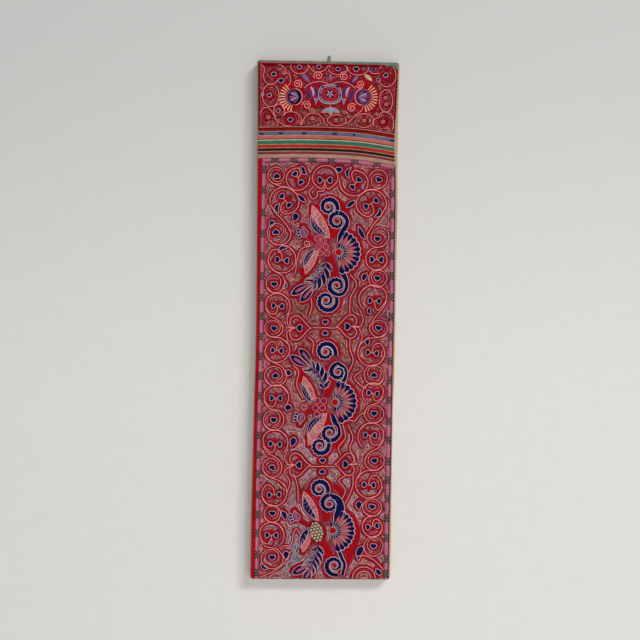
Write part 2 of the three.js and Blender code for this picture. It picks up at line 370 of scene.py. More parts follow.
class Panel:
    """One embroidered panel: its raised parts by kind, and how far each place is from the nearest of them."""

    KINDS = ("red", "dark", "cord", "navy", "pale", "fill")
    # The grid's cells, and how far from a stitch the grid looks, in mm
    CELL = 0.5
    REACH = 12.0

    def __init__(self, left, right, top, bottom, box):
        self.sides = (left, right, top, bottom)
        self.shapes = {kind: Shape() for kind in self.KINDS}
        self.across = np.arange(box[0], box[1], self.CELL)
        self.down = np.arange(box[2], box[3], self.CELL)
        grid_across, grid_down = np.meshgrid(self.across, self.down)
        self.clear = self.inside(grid_across, grid_down)

    def inside(self, across, down):
        """How far inside the panel's edges each place is."""
        left, right, top, bottom = self.sides
        gaps = [across - left(down), right(down) - across, down - top(across), bottom(across) - down]
        return np.minimum.reduce(gaps)

    def held(self, across, down):
        """Places moved inside the panel's edges."""
        left, right, top, bottom = self.sides
        across = np.clip(across, left(down) + EDGE_GAP, right(down) - EDGE_GAP)
        return across, np.clip(down, top(across) + EDGE_GAP, bottom(across) - EDGE_GAP)

    def stamp(self, path, half):
        """Keeps the ground threads off a path and half its width to each side."""
        half = np.broadcast_to(np.asarray(half, float), (len(path),))
        cells = int(self.REACH / self.CELL)
        for (across, down), radius in zip(path, half):
            column = int((across - self.across[0]) / self.CELL)
            row = int((down - self.down[0]) / self.CELL)
            rows = slice(max(0, row - cells), max(0, row + cells))
            columns = slice(max(0, column - cells), max(0, column + cells))
            gap = np.hypot(self.across[None, columns] - across, self.down[rows, None] - down) - radius
            window = self.clear[rows, columns]
            np.minimum(window, gap, out=window)

    def runs(self, path, half, margin):
        """The stretches of a path that are inside the panel by a margin."""
        path = np.asarray(path, float)
        half = np.broadcast_to(np.asarray(half, float), (len(path),))
        kept = self.inside(path[:, 0], path[:, 1]) > margin
        start = None
        for i, keep in enumerate(list(kept) + [False]):
            if keep and start is None:
                start = i
            if not keep and start is not None:
                if i - start >= 3:
                    yield path[start:i], half[start:i]
                start = None

    def ridge(self, kind, path, half, rise, lift, tint, section=CORD, closed=False):
        """A ridge on the panel, cut off at the panel's edges."""
        path = np.asarray(path, float)
        if closed and self.inside(path[:, 0], path[:, 1]).min() > EDGE_GAP:
            sweep(self.shapes[kind], path, half, rise, lift, tint, section, closed=True, within=self.held)
            self.stamp(path[::2], np.broadcast_to(half, (len(path),))[::2])
            return
        if closed:
            path = np.concatenate([path, path[:1]])
            half = np.full(len(path), half) if np.ndim(half) == 0 else np.append(half, half[0])
        for part, width in self.runs(path, half, EDGE_GAP):
            sweep(self.shapes[kind], part, width, rise, lift, tint, section, within=self.held)
            self.stamp(part[::2], width[::2])

    def patch(self, kind, outline, rise, lift, tint, angle=0.0):
        """A filled shape on the panel, held inside the panel's edges."""
        outline = np.array(outline, float)
        outline = np.stack(self.held(outline[:, 0], outline[:, 1]), 1)
        blob(self.shapes[kind], outline, rise, lift, tint, angle)
        middle = outline.mean(0)
        for size in (1.0, 0.7, 0.4, 0.1):
            self.stamp(middle + (outline - middle) * size, 0.0)


# Heights above the ground cloth, in mm
RED_LIFT, RED_RISE = 0.0, 0.7
NAVY_LIFT, NAVY_RISE = 0.35, 0.7
PALE_LIFT, PALE_RISE = 0.35, 0.9
CORD_LIFT, CORD_RISE = 0.5, 0.95
FILL_LIFT, FILL_RISE = 0.3, 0.6
CORD_HALF = 0.5
PALE_HALF = 0.3
VINE_HALF = 2.4
# How far apart a path's points are, in mm
STEP = 1.1


def unit(degrees):
    """The direction at an angle: 0 is right and 90 is down."""
    return np.array([math.cos(math.radians(degrees)), math.sin(math.radians(degrees))])


def eased(share):
    """A share that starts and ends gently."""
    share = np.clip(share, 0, 1)
    return share * share * (3 - 2 * share)


def through(points, step=STEP):
    """A smooth path through a few points."""
    points = np.asarray(points, float)
    padded = np.concatenate([[2 * points[0] - points[1]], points, [2 * points[-1] - points[-2]]])
    part = np.linspace(0, 1, 16, endpoint=False)[:, None]
    spans = []
    for before, here, there, after in zip(padded, padded[1:], padded[2:], padded[3:]):
        slope_in = (there - before) / 2
        slope_out = (after - here) / 2
        rest = 1 - part
        level = here * (1 + 2 * part) * rest**2 + there * part**2 * (3 - 2 * part)
        spans.append(level + slope_in * part * rest**2 - slope_out * part**2 * rest)
    return evened(np.concatenate(spans + [points[-1:]]), step)


def turn_path(centre, start_radius, end_radius, start, turns, step=STEP, ease=1.0):
    """A spiral from one radius to another. It turns clockwise when turns is more than 0."""
    count = max(6, int(abs(turns) * 2 * math.pi * max(start_radius, end_radius) / step))
    part = np.linspace(0, 1, count)
    angle = np.radians(start) + part * turns * 2 * math.pi
    radius = start_radius + (end_radius - start_radius) * part**ease
    return np.stack([centre[0] + radius * np.cos(angle), centre[1] + radius * np.sin(angle)], 1)


def arc(centre, across, down, start, sweep_angle, step=STEP):
    """Part of an oval, from one angle on and clockwise when the sweep is more than 0."""
    count = max(6, int(abs(math.radians(sweep_angle)) * max(across, down) / step))
    angle = np.radians(start + sweep_angle * np.linspace(0, 1, count))
    return np.stack([centre[0] + across * np.cos(angle), centre[1] + down * np.sin(angle)], 1)


def oval(centre, radius_across, radius_down, count=28, lean=0.0):
    """A ring of points round a place."""
    angle = np.linspace(0, 2 * math.pi, count, endpoint=False)
    across, down = radius_across * np.cos(angle), radius_down * np.sin(angle)
    turn = math.radians(lean)
    turned_across = centre[0] + across * math.cos(turn) - down * math.sin(turn)
    turned_down = centre[1] + across * math.sin(turn) + down * math.cos(turn)
    return np.stack([turned_across, turned_down], 1)


# The sizes of the cosine waves that a heart's height is made of
FULL_HEART = (13, 5, 2, 1)
PLUMP_HEART = (13.4, 3.0, 1.4, 0.5)


def heart(centre, half, tip, count=26, waves=FULL_HEART):
    """A heart's outline, with its point towards an angle."""
    angle = np.linspace(0, 2 * math.pi, count, endpoint=False)
    side = np.sign(np.sin(angle)) * np.abs(np.sin(angle)) ** (3 if waves is FULL_HEART else 2.2)
    up = waves[0] * np.cos(angle)
    for number, size in enumerate(waves[1:], 2):
        up = up - size * np.cos(number * angle)
    up = up / 16
    along = unit(tip)
    sides = np.array([-along[1], along[0]])
    return np.asarray(centre) + half * (side[:, None] * sides - (up[:, None] + 0.1) * 0.98 * along)


def leaf_widths(count, half, fullest=0.45):
    """Half widths along a leaf, with a point at each end."""
    part = np.linspace(0, 1, count)
    power = math.log(0.5) / math.log(fullest)
    return np.maximum(half * np.sin(math.pi * part**power) ** 0.85, 0.12)


def leaf_outline(path, widths, extra=0.0):
    """The closed outline of a leaf along a path."""
    side = sideways(path)
    ends = directions(path)
    widths = np.maximum(widths + extra, 0.1)
    outline = np.concatenate([path + side * widths[:, None], (path - side * widths[:, None])[::-1]])
    outline[0] -= ends[0] * extra
    outline[-1] -= ends[0] * extra
    return outline


def offset(outline, by):
    """A closed outline moved outwards."""
    side = sideways(outline, closed=True)
    ahead = np.roll(outline, -1, 0)
    area = np.sum(outline[:, 0] * ahead[:, 1] - ahead[:, 0] * outline[:, 1])
    return outline - side * by * math.copysign(1, area)


def evened_ring(outline, step):
    """A closed ring with its points at even steps."""
    closed = np.concatenate([outline, outline[:1]])
    return evened(closed, step)[:-1]


def leaf_ring(path, widths, extra, step=1.0):
    """An even ring round a leaf, a distance outside it."""
    return evened_ring(leaf_outline(path, widths, extra), step)


def disc(centre, radius, count):
    """A round ring of points."""
    return oval(centre, radius, radius, count)


def red_band(panel, path, half, tint=BRIGHT_RED, closed=False):
    panel.ridge("red", path, half, RED_RISE, RED_LIFT, tint, BAND, closed=closed)


def red_ground(panel, outline, rise=0.5, lift=0.0):
    """A flat patch of red stitches under a motif."""
    panel.patch("red", outline, rise, lift, BRIGHT_RED)


def navy_band(panel, path, half, lift=0.0, tint=NAVY, section=BAND):
    panel.ridge("navy", path, half, NAVY_RISE, NAVY_LIFT + lift, tint, section)


def pink_cord(panel, path, half=CORD_HALF, tint=PINK_CORD, lift=0.0):
    panel.ridge("cord", path, half, CORD_RISE, CORD_LIFT + lift, tint)


def pale_line(panel, path, closed=False, tint=PALE, half=PALE_HALF, lift=0.0):
    panel.ridge("pale", path, half, PALE_RISE, PALE_LIFT + lift, tint, closed=closed)


def vine(panel, path, half=VINE_HALF, cord=CORD_HALF, red=CRIMSON):
    """A red band with a pink cord along its middle and a dark line on each side of the cord."""
    red_band(panel, path, half, red)
    panel.ridge("dark", path, np.minimum(half * 0.75, cord + 0.6), RED_RISE, RED_LIFT + 0.25, DARK_RED)
    pink_cord(panel, path, cord)


def petal(panel, points, half, tone, fullest=0.45, rise=0.8, lift=0.5, kind="fill", step=0.8):
    """A small pointed shape through a few places. Gives its path."""
    path = through(points, step)
    panel.ridge(kind, path, leaf_widths(len(path), half, fullest), rise, lift, tone, BAND)
    return path


def navy_heart(panel, centre, half, tip, ring=1.3, navy=NAVY, pale=PALE, red=CRIMSON):
    """A navy heart with a pale outline and, outside it, a red ring."""
    half = half * 1.1
    outline = heart(centre, half, tip, waves=PLUMP_HEART)
    panel.patch("navy", outline, NAVY_RISE, NAVY_LIFT, navy, math.radians(tip))
    pale_line(panel, evened_ring(offset(outline, 0.42), 0.8), closed=True, tint=pale)
    wider = heart(centre, half * 1.05, tip, waves=PLUMP_HEART)
    red_band(panel, evened_ring(offset(wider, 0.8 + ring), 0.9), ring, red, closed=True)


def leaf(panel, kind, path, half, tint, outline=None, red=None, rise=NAVY_RISE, lift=NAVY_LIFT, fullest=0.45):
    """A leaf along a path, with an outline and a red band round it where they are asked for."""
    widths = leaf_widths(len(path), half, fullest)
    panel.ridge(kind, path, widths, rise, lift, tint, BAND)
    if outline is not None:
        pale_line(panel, leaf_ring(path, widths, 0.4, 0.9), closed=True, tint=outline)
    if red is not None:
        red_band(panel, leaf_ring(path, widths, 1.9), 1.2, red, closed=True)


def straight_leaf(panel, kind, centre, length, angle, half, tint, bend=0.0, **more):
    """A leaf with its middle at a place, bent to one side."""
    along = unit(angle)
    side = np.array([-along[1], along[0]])
    centre = np.asarray(centre, float)
    points = [centre - along * length / 2, centre + side * bend, centre + along * length / 2]
    leaf(panel, kind, through(points, 0.9), half, tint, **more)


def single_scroll(panel, centre, radius, tip, middle, start, way, size=3.3, turns=1.3):
    """A cord that goes round a scroll and then winds in to the one heart in it."""
    centre = np.asarray(centre, float)
    focus = centre + np.asarray(middle, float)
    count = int(turns * 2 * math.pi * radius / STEP)
    part = np.linspace(0, 1, count)
    drawn_in = eased((part - 0.4) / 0.6)
    angle = np.radians(start) + part * turns * 2 * math.pi * way
    radii = radius + (size + 2.9 - radius) * drawn_in
    radii = radii * (1 + 0.03 * np.sin(2 * angle + centre[1]))
    middles = centre + (focus - centre) * drawn_in[:, None]
    path = evened(middles + radii[:, None] * np.stack([np.cos(angle), np.sin(angle)], 1), STEP)
    taper = np.linspace(1.0, 0.62, len(path))
    vine(panel, path, VINE_HALF * taper, CORD_HALF * np.sqrt(taper))
    navy_heart(panel, focus, size, tip)


def hook(centre, radius, focus, back, along, first, last):
    """A cord round a scroll from one angle to another, then in to the middle between its two hearts."""
    degrees = np.linspace(first, last, max(10, int(abs(last - first) * radius / 60)))
    part = np.linspace(0, 1, len(degrees))
    angle = np.radians(degrees)
    radii = radius * (1 - 0.14 * eased((part - 0.7) / 0.3)) * (1 + 0.025 * np.sin(2 * angle + centre[1]))
    ring = centre + radii[:, None] * np.stack([np.cos(angle), np.sin(angle)], 1)
    inward = [
        ring[-5],
        ring[-1],
        focus + (back * 0.68 + along * 0.24) * radius,
        focus + (back * 0.36 + along * 0.03) * radius,
        focus,
    ]
    return evened(np.concatenate([ring[:-5], through(inward)]), STEP)


def paired_scroll(panel, centre, radius, angle, middle, gap, flower, side, size, both=False):
    """A round scroll with two hearts, point to point, and a red flower. angle is the line that the pair
    lies along, gap is half the distance between the hearts, flower is where the flower points, and side
    says which heart the cord curls round on its way in."""
    centre = np.asarray(centre, float)
    focus = centre + np.asarray(middle, float)
    along = unit(angle) * side
    back = unit(flower + 180)
    sense = 1 if back[0] * along[1] - back[1] * along[0] > 0 else -1
    base = flower + 180
    if both:
        for turn in (-1, 1):
            first, last = base + sense * turn * 180, base + sense * turn * 45
            vine(panel, hook(centre, radius, focus, back, along * turn, first, last))
    else:
        vine(panel, hook(centre, radius, focus, back, along, base - sense * 40, base - sense * 315))
    for way_out in (-1, 1):
        place = focus + unit(angle) * gap * way_out
        navy_heart(panel, place, size, angle + (180 if way_out > 0 else 0), ring=1.2)
    reach = unit(angle) * (gap - size * 0.8)
    pink_cord(panel, through([focus - reach, focus, focus + reach], 0.8), CORD_HALF * 0.7)
    for lean, length, half in ((0, 0.56, 1.3), (-32, 0.42, 0.9), (32, 0.42, 0.9)):
        tip = focus + unit(flower + lean) * radius * length
        root = focus + unit(flower) * 1.6
        leaf(panel, "red", through([root, (root + tip) / 2, tip], 0.8), half, BRIGHT_RED, rise=0.9, lift=0.1)


def link(panel, first, second, side):
    """The cord from one scroll's side over to the other side of the next."""
    (x1, d1, r1), (x2, d2, r2) = first, second
    start = np.array([x1, d1])
    end = np.array([x2, d2])
    along = (end - start) / np.linalg.norm(end - start)
    out = np.array([-along[1], along[0]]) * side
    points = [
        start + (out * 0.94 + along * 0.34) * r1,
        start + (out * 0.5 + along * 0.86) * r1,
        (start + along * r1 + end - along * r2) / 2,
        end - (out * 0.5 + along * 0.86) * r2,
        end - (out * 0.94 + along * 0.34) * r2,
    ]
    vine(panel, through(points))


def contours(field, level, across, down):
    """The lines where a field on a grid passes through a level, each as a path in mm."""
    high = field > level
    mixed = high[:-1, :-1].astype(int) + high[:-1, 1:] + high[1:, :-1] + high[1:, 1:]
    rows, columns = np.nonzero((mixed > 0) & (mixed < 4))
    step = across[1] - across[0]
    places = {}
    joins = {}

    def crossing(key):
        if key not in places:
            kind, i, j = key
            a = field[i, j]
            b = field[i, j + 1] if kind == "h" else field[i + 1, j]
            part = (level - a) / (b - a) * step
            places[key] = (across[j] + part, down[i]) if kind == "h" else (across[j], down[i] + part)
        return key

    for i, j in zip(rows.tolist(), columns.tolist()):
        a, b, c, d = high[i, j], high[i, j + 1], high[i + 1, j + 1], high[i + 1, j]
        keys = []
        if a != b:
            keys.append(crossing(("h", i, j)))
        if b != c:
            keys.append(crossing(("v", i, j + 1)))
        if c != d:
            keys.append(crossing(("h", i + 1, j)))
        if d != a:
            keys.append(crossing(("v", i, j)))
        for one, two in zip(keys[::2], keys[1::2]):
            joins.setdefault(one, []).append(two)
            joins.setdefault(two, []).append(one)
    seen = set()
    ends = [key for key, near in joins.items() if len(near) == 1]
    for first in ends + list(joins):
        if first in seen:
            continue
        seen.add(first)
        line = [first]
        here = first
        while True:
            onward = [key for key in joins[here] if key not in seen]
            if not onward:
                break
            here = onward[0]
            seen.add(here)
            line.append(here)
        if len(line) > 5:
            yield np.array([places[key] for key in line])


def calmed(path, rounds=2):
    """The path with its small steps smoothed away."""
    for _ in range(rounds):
        middle = (path[:-2] + 2 * path[1:-1] + path[2:]) / 4
        path = np.concatenate([path[:1], middle, path[-1:]])
    return path


# The couched ground threads: the first row's distance from a motif and the next ones' from it, and their size
THREAD_START = 0.55
THREAD_PITCH = 1.25
THREAD_HALF = 0.56
THREAD_RISE = 0.42
THREAD_STEP = 1.35


def echo_threads(panel, colour_at):
    """Couched ground threads that follow the motifs' outlines, row after row, in colours that keep
    changing."""
    shape = Shape()
    deepest = float(panel.clear.max())
    level = THREAD_START
    row = 0
    while level < deepest:
        for line in contours(panel.clear, level, panel.across, panel.down):
            path = evened(calmed(line), THREAD_STEP)
            tints = []
            while len(tints) < len(path):
                across, down = path[len(tints)]
                tints += [colour_at(row, across, down)] * int(RNG.integers(1, 4))
            sweep(shape, path, THREAD_HALF, THREAD_RISE, 0.0, np.array(tints[: len(path)]), THREAD)
        level += THREAD_PITCH
        row += 1
    return shape


def picked(colours, weights, spread=0.34):
    """One colour at random, a little lighter or darker."""
    weights = np.asarray(weights, float)
    colour = colours[RNG.choice(len(colours), p=weights / weights.sum())]
    return np.array(colour) * RNG.uniform(1 - spread, 1 + spread)


class Recipe:
    """A procedural material: its surface shader, and short ways to add nodes and join them."""

    def __init__(self, name):
        self.material = bpy.data.materials.new(name)
        self.material.use_nodes = True
        self.nodes = self.material.node_tree.nodes
        self.shader = self.nodes["Principled BSDF"]

    def feed(self, socket, value):
        """Joins an output to a socket, or sets the socket's own value."""
        if isinstance(value, bpy.types.NodeSocket):
            self.material.node_tree.links.new(value, socket)
        elif socket.type == "RGBA":
            socket.default_value = (*value[:3], 1)
        else:
            socket.default_value = value

    def set(self, **looks):
        """Gives the surface shader its values, by the sockets' names in small letters."""
        for name, value in looks.items():
            self.feed(self.shader.inputs[SHADER_SOCKETS[name]], value)

    def place(self):
        """Where each point is on the object."""
        return self.nodes.new("ShaderNodeTexCoord").outputs["Object"]

    def split(self, source):
        node = self.nodes.new("ShaderNodeSeparateXYZ")
        self.feed(node.inputs[0], source)
        return node.outputs

    def math(self, operation, *values):
        node = self.nodes.new("ShaderNodeMath")
        node.operation = operation
        for socket, value in zip(node.inputs, values):
            self.feed(socket, value)
        return node.outputs[0]

    def times(self, first, second):
        return self.math("MULTIPLY", first, second)

    def added(self, first, share, second):
        """A share of the first value on top of the second."""
        return self.math("MULTIPLY_ADD", first, share, second)

    def clamped(self, value):
        node = self.nodes.new("ShaderNodeClamp")
        self.feed(node.inputs[0], value)
        return node.outputs[0]

    def noise(self, source, scale, detail, stretch=None):
        if stretch is not None:
            mapping = self.nodes.new("ShaderNodeMapping")
            self.feed(mapping.inputs["Scale"], stretch)
            self.feed(mapping.inputs["Vector"], source)
            source = mapping.outputs["Vector"]
        node = self.nodes.new("ShaderNodeTexNoise")
        self.feed(node.inputs["Scale"], scale)
        self.feed(node.inputs["Detail"], detail)
        self.feed(node.inputs["Vector"], source)
        return node.outputs["Fac"]

    def ramp(self, value, first, last, top=1.0, smooth=False):
        """A value that rises from 0 to the top between two levels of another."""
        node = self.nodes.new("ShaderNodeMapRange")
        if smooth:
            node.interpolation_type = "SMOOTHSTEP"
        for name, number in (("From Min", first), ("From Max", last), ("To Max", top), ("Value", value)):
            self.feed(node.inputs[name], number)
        return node.outputs[0]

    def mix(self, share, first, second, blend="MIX"):
        node = self.nodes.new("ShaderNodeMix")
        node.data_type = "RGBA"
        node.blend_type = blend
        for number, value in ((MIX_SHARE, share), (MIX_FIRST, first), (MIX_SECOND, second)):
            self.feed(node.inputs[number], value)
        return node.outputs[MIX_OUT]

    def bump(self, height, strength, distance):
        node = self.nodes.new("ShaderNodeBump")
        for name, value in (("Strength", strength), ("Distance", distance), ("Height", height)):
            self.feed(node.inputs[name], value)
        self.feed(self.shader.inputs["Normal"], node.outputs["Normal"])


SHADER_SOCKETS = {
    "colour": "Base Color",
    "roughness": "Roughness",
    "metallic": "Metallic",
    "specular": "Specular IOR Level",
    "sheen": "Sheen Weight",
    "sheen_roughness": "Sheen Roughness",
}
# The mix node has sockets for each kind of value. These are the ones for colours
MIX_SHARE, MIX_FIRST, MIX_SECOND, MIX_OUT = 0, 6, 7, 2
TURN = 2 * math.pi


def thread_material(name, pitch, lean, rows=0.0, rough=0.75, wear=0.1, worn=CREAM, depth=0.12):
    """Silk thread: twist or satin stitches along the piece, with painted shade that darkens the colour a
    little in the twist's grooves and between the couched rows, slight fading, and worn pale places. pitch is
    the stitches' spacing in mm, lean how far they slant, and rows how far apart the couched rows are."""
    recipe = Recipe(name)
    tint = recipe.nodes.new("ShaderNodeAttribute")
    tint.attribute_name = "tint"
    stitches = recipe.nodes.new("ShaderNodeUVMap")
    stitches.uv_map = "stitches"
    along, across, _ = recipe.split(stitches.outputs["UV"])
    turn = TURN / pitch
    twist = recipe.math("SINE", recipe.added(across, lean * turn, recipe.times(along, turn)))
    if rows:
        lines = recipe.math("COSINE", recipe.times(across, TURN / rows))
        twist = recipe.added(lines, 0.8, twist)
    place = recipe.place()
    fading = recipe.noise(place, 38.0, 4.0)
    specks = recipe.noise(place, 900.0, 2.0)
    fibres = recipe.noise(stitches.outputs["UV"], 1.0, 3.0, stretch=(0.8, 6.0, 1.0))
    # Painted shade: the twist and rows, which also drive the bump, darken the colour a little in their
    # grooves. The fading and fibre noises added next are the silk's own tone.
    light = recipe.added(twist, 0.07, 0.93)
    for source, share, mean in ((fading, 0.45, -0.22), (fibres, 0.3, -0.15)):
        light = recipe.added(source, share, recipe.math("ADD", light, mean))
    grey = recipe.nodes.new("ShaderNodeCombineColor")
    for socket in grey.inputs[:3]:
        recipe.feed(socket, light)
    shaded = recipe.mix(1.0, tint.outputs["Color"], grey.outputs[0], "MULTIPLY")
    spots = recipe.ramp(specks, 0.56, 0.72, wear)
    recipe.set(colour=recipe.mix(spots, shaded, worn), roughness=rough, specular=0.05)
    recipe.bump(recipe.added(fibres, 0.8, twist), 0.7, depth * MM)
    return recipe.material


def cotton_material(name, pitch, colour, shade):
    """Plain woven cloth: a thread each pitch mm both ways, colour that varies over the cloth, and a few
    slubs."""
    recipe = Recipe(name)
    place = recipe.place()
    turn = TURN / (pitch * MM)
    waves = [recipe.math("SINE", recipe.times(axis, turn)) for axis in recipe.split(place)]
    weave = recipe.math("ADD", recipe.times(waves[0], waves[2]), waves[1])
    slubs = recipe.noise(place, 260.0, 3.0, stretch=(1.0, 1.0, 1.0))
    patches = recipe.noise(place, 30.0, 4.0)
    share = recipe.added(slubs, 0.5, recipe.times(patches, 0.7))
    share = recipe.added(weave, 0.06, recipe.math("ADD", share, -0.1))
    mixed = recipe.mix(recipe.clamped(share), shade, colour)
    recipe.set(colour=mixed, roughness=0.8, specular=0.25, sheen=0.1, sheen_roughness=0.5)
    recipe.bump(recipe.added(slubs, 0.9, weave), 0.6, 0.1 * MM)
    return recipe.material


def pine_material():
    """Bare pine: long grain rings, fine pores and a few darker streaks."""
    recipe = Recipe("bare_pine")
    place = recipe.place()
    rings = recipe.noise(place, 14.0, 4.0, stretch=(6.0, 1.0, 0.5))
    pores = recipe.noise(place, 420.0, 3.0, stretch=(1.0, 1.0, 0.12))
    bands = recipe.math("SINE", recipe.times(rings, 60.0))
    share = recipe.clamped(recipe.added(bands, 0.28, recipe.added(pores, 0.5, 0.2)))
    recipe.set(colour=recipe.mix(share, linear(168, 122, 74), linear(220, 184, 132)), roughness=0.62)
    recipe.bump(pores, 0.4, 0.1 * MM)
    return recipe.material


def steel_material():
    """Dull zinc-plated steel with fine brushed lines and small stains."""
    recipe = Recipe("dull_steel")
    place = recipe.place()
    lines = recipe.noise(place, 900.0, 2.0, stretch=(1.0, 1.0, 0.08))
    stains = recipe.noise(place, 160.0, 4.0)
    colour = recipe.mix(stains, linear(104, 112, 110), linear(146, 152, 150))
    recipe.set(colour=colour, roughness=recipe.added(lines, 0.3, 0.25), metallic=0.85)
    recipe.bump(lines, 0.3, 0.05 * MM)
    return recipe.material


def plaster_recipe(name):
    """Painted plaster with a faint unevenness. Gives its recipe, its place and its paint."""
    recipe = Recipe(name)
    place = recipe.place()
    grain = recipe.noise(place, 60.0, 5.0)
    paint = recipe.mix(grain, linear(226, 225, 223), linear(232, 231, 229))
    recipe.set(colour=paint, roughness=0.9, specular=0.1)
    recipe.bump(grain, 0.15, 0.3 * MM)
    return recipe, place, paint


def wall_material():
    """The wall's paint is a little darker high up, as painted shade for light that falls off towards the top,
    and the wall shows only its front, so that the back can be looked at.
    """
    recipe, place, paint = plaster_recipe("painted_plaster")
    # Painted shade: the paint blends to a darker grey between 0.45 m below the hanging's top and 0.1 m above
    # it.
    high = recipe.ramp(recipe.split(place)[2], -0.45, 0.1, smooth=True)
    recipe.set(colour=recipe.mix(high, paint, linear(211, 211, 210)))
    clear = recipe.nodes.new("ShaderNodeBsdfTransparent")
    sides = recipe.nodes.new("ShaderNodeNewGeometry")
    choice = recipe.nodes.new("ShaderNodeMixShader")
    values = (sides.outputs["Backfacing"], recipe.shader.outputs[0], clear.outputs[0])
    for socket, value in zip(choice.inputs, values):
        recipe.feed(socket, value)
    recipe.feed(recipe.nodes["Material Output"].inputs["Surface"], choice.outputs[0])
    return recipe.material


def round_corners(across, down):
    """Points near the sewn textile's four corners, moved inside its rounded corners."""
    radius = CORNER_RADIUS - EDGE_MARGIN
    on_left = across < 0
    on_top = down < HEIGHT / 2
    side_out = np.where(on_left, sewn_left(down) + radius - across, across - sewn_right(down) + radius)
    level_out = np.where(on_top, sewn_top(across) + radius - down, down - sewn_bottom(across) + radius)
    corner = (side_out > 0) & (level_out > 0)
    far = np.maximum(np.hypot(side_out, level_out), 1e-6)
    size = np.where(corner, np.maximum(side_out, level_out) / far, 1)
    new_across = np.where(corner, across - np.where(on_left, -1, 1) * side_out * (1 - size), across)
    new_down = np.where(corner, down - np.where(on_top, -1, 1) * level_out * (1 - size), down)
    return new_across, new_down


# A cloth's edge is rounded over this many mm, with rows of points at these places
RIM = (0, 0.2, 0.55, 1.1)


def shares(size, step):
    """Even shares of a length, with closer ones at its ends, where a cloth's edge is rounded."""
    rim = np.array(RIM) / size
    inner = max(2, int(size / step))
    return np.concatenate([rim[:-1], np.linspace(rim[-1], 1 - rim[-1], inner), 1 - rim[:-1][::-1]])


def sheet_shape(sides, step=(2.5, 2.5), front=TEXTILE_FRONT, edge=0.55, crown=0.0, ripple=0.0, tint=None):
    """A closed sheet of cloth between two side curves and two level curves, with soft edges. Gives its flat
    size too."""
    left, right, top, bottom = (shifted(curve, by) for curve, by in zip(sides, (HALF_GAP, -HALF_GAP) * 2))
    centre_down = (top(0.0) + bottom(0.0)) / 2
    width = float(right(centre_down) - left(centre_down))
    middle = float(left(centre_down) + right(centre_down)) / 2
    tall = float(bottom(middle) - top(middle))
    s, t = np.meshgrid(shares(width, step[0]), shares(tall, step[1]))
    across = np.full(s.shape, middle)
    for _ in range(4):
        down = top(across) + t * (bottom(across) - top(across))
        across = left(down) + s * (right(down) - left(down))
    rim = np.minimum.reduce([s * width, (1 - s) * width, t * tall, (1 - t) * tall])
    soft = np.clip(1 - rim / RIM[-1], 0, 1) ** 2
    level = tall < width
    lift = crown * (1 - (2 * (t if level else s) - 1) ** 2) - edge * soft
    lift += ripple * np.sin(across * 0.9 + 2 * np.sin(down * 0.4)) * (1 - soft)
    coords = np.stack([across, t * tall] if level else [down, s * width], -1).reshape(-1, 2)
    across, down = round_corners(across, down)
    out = front - unevenness(across, down) - lift
    count = s.size
    face = grid_faces(*s.shape, wrap=False)
    index = np.arange(count).reshape(s.shape)
    rim_path = np.concatenate([index[0, :-1], index[:-1, -1], index[-1, :0:-1], index[:0:-1, 0]])
    after = np.roll(rim_path, -1)
    wall = np.stack([rim_path, rim_path + count, after + count, after], 1)
    tints = tint(s, t, across, down).reshape(-1, 3)
    outs = np.concatenate([out.ravel(), np.full(count, TEXTILE_BACK)])
    twice = [np.concatenate([values] * 2) for values in (across.ravel(), down.ravel(), coords, tints)]
    shape = Shape()
    shape.add(twice[0], twice[1], outs, twice[2], twice[3], [face, face[:, ::-1] + count, wall])
    return shape, (width * MM, tall * MM)


SILK = thread_material("silk_thread", pitch=0.9, lean=0.9)
SATIN = thread_material("satin_stitch", pitch=0.55, lean=0.15, rough=0.6, wear=0.03, depth=0.1)
CHAIN = thread_material("couched_rows", pitch=1.1, lean=0.5, rows=0.9, wear=0.03, depth=0.14)
GROUND = thread_material("ground_stitches", pitch=0.7, lean=0.4, rows=0.8, wear=0.2, worn=BEIGE, depth=0.14)
RIBBON = thread_material(
    "ribbon_weave", pitch=0.5, lean=0.0, rows=0.55, rough=0.7, wear=0.04, worn=BEIGE, depth=0.1
)
COTTON = cotton_material("natural_cotton", 0.6, linear(194, 168, 138), linear(164, 136, 106))
PINE = pine_material()
STEEL = steel_material()


# The sewn sheets and their flat sizes, by the names of their CAD nodes
SHEETS = {}


def sewn_sheet(name, slot, sides, material, **more):
    """A sewn sheet in place of its CAD node."""
    shape, flat = sheet_shape(sides, **more)
    piece = shape.build(name + "_cloth", material, slot)
    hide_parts(name)
    SHEETS[name] = (piece, flat)


def mottled(colours, weights, spread=0.16):
    """Vertex colours that drift between a few threads' colours."""

    def tint(s, t, across, down):
        waves = np.zeros(across.shape + (len(colours),))
        for i, weight in enumerate(weights):
            lean = 0.4 + 0.5 * i
            wave = np.sin(across * (0.21 + 0.05 * i) + lean * 3) * np.cos(down * (0.17 - 0.02 * i) + lean)
            waves[..., i] = weight * (1 + 0.8 * wave)
        waves /= waves.sum(-1, keepdims=True)
        shade = 1 + spread * RNG.uniform(-1, 1, across.shape)
        return (waves @ np.array(colours)) * shade[..., None]

    return tint


# The tall panel
lower = Panel(left_tape_seam, right_tape_seam, top_tape_seam, sewn_bottom, (-82, 82, 118, 626))

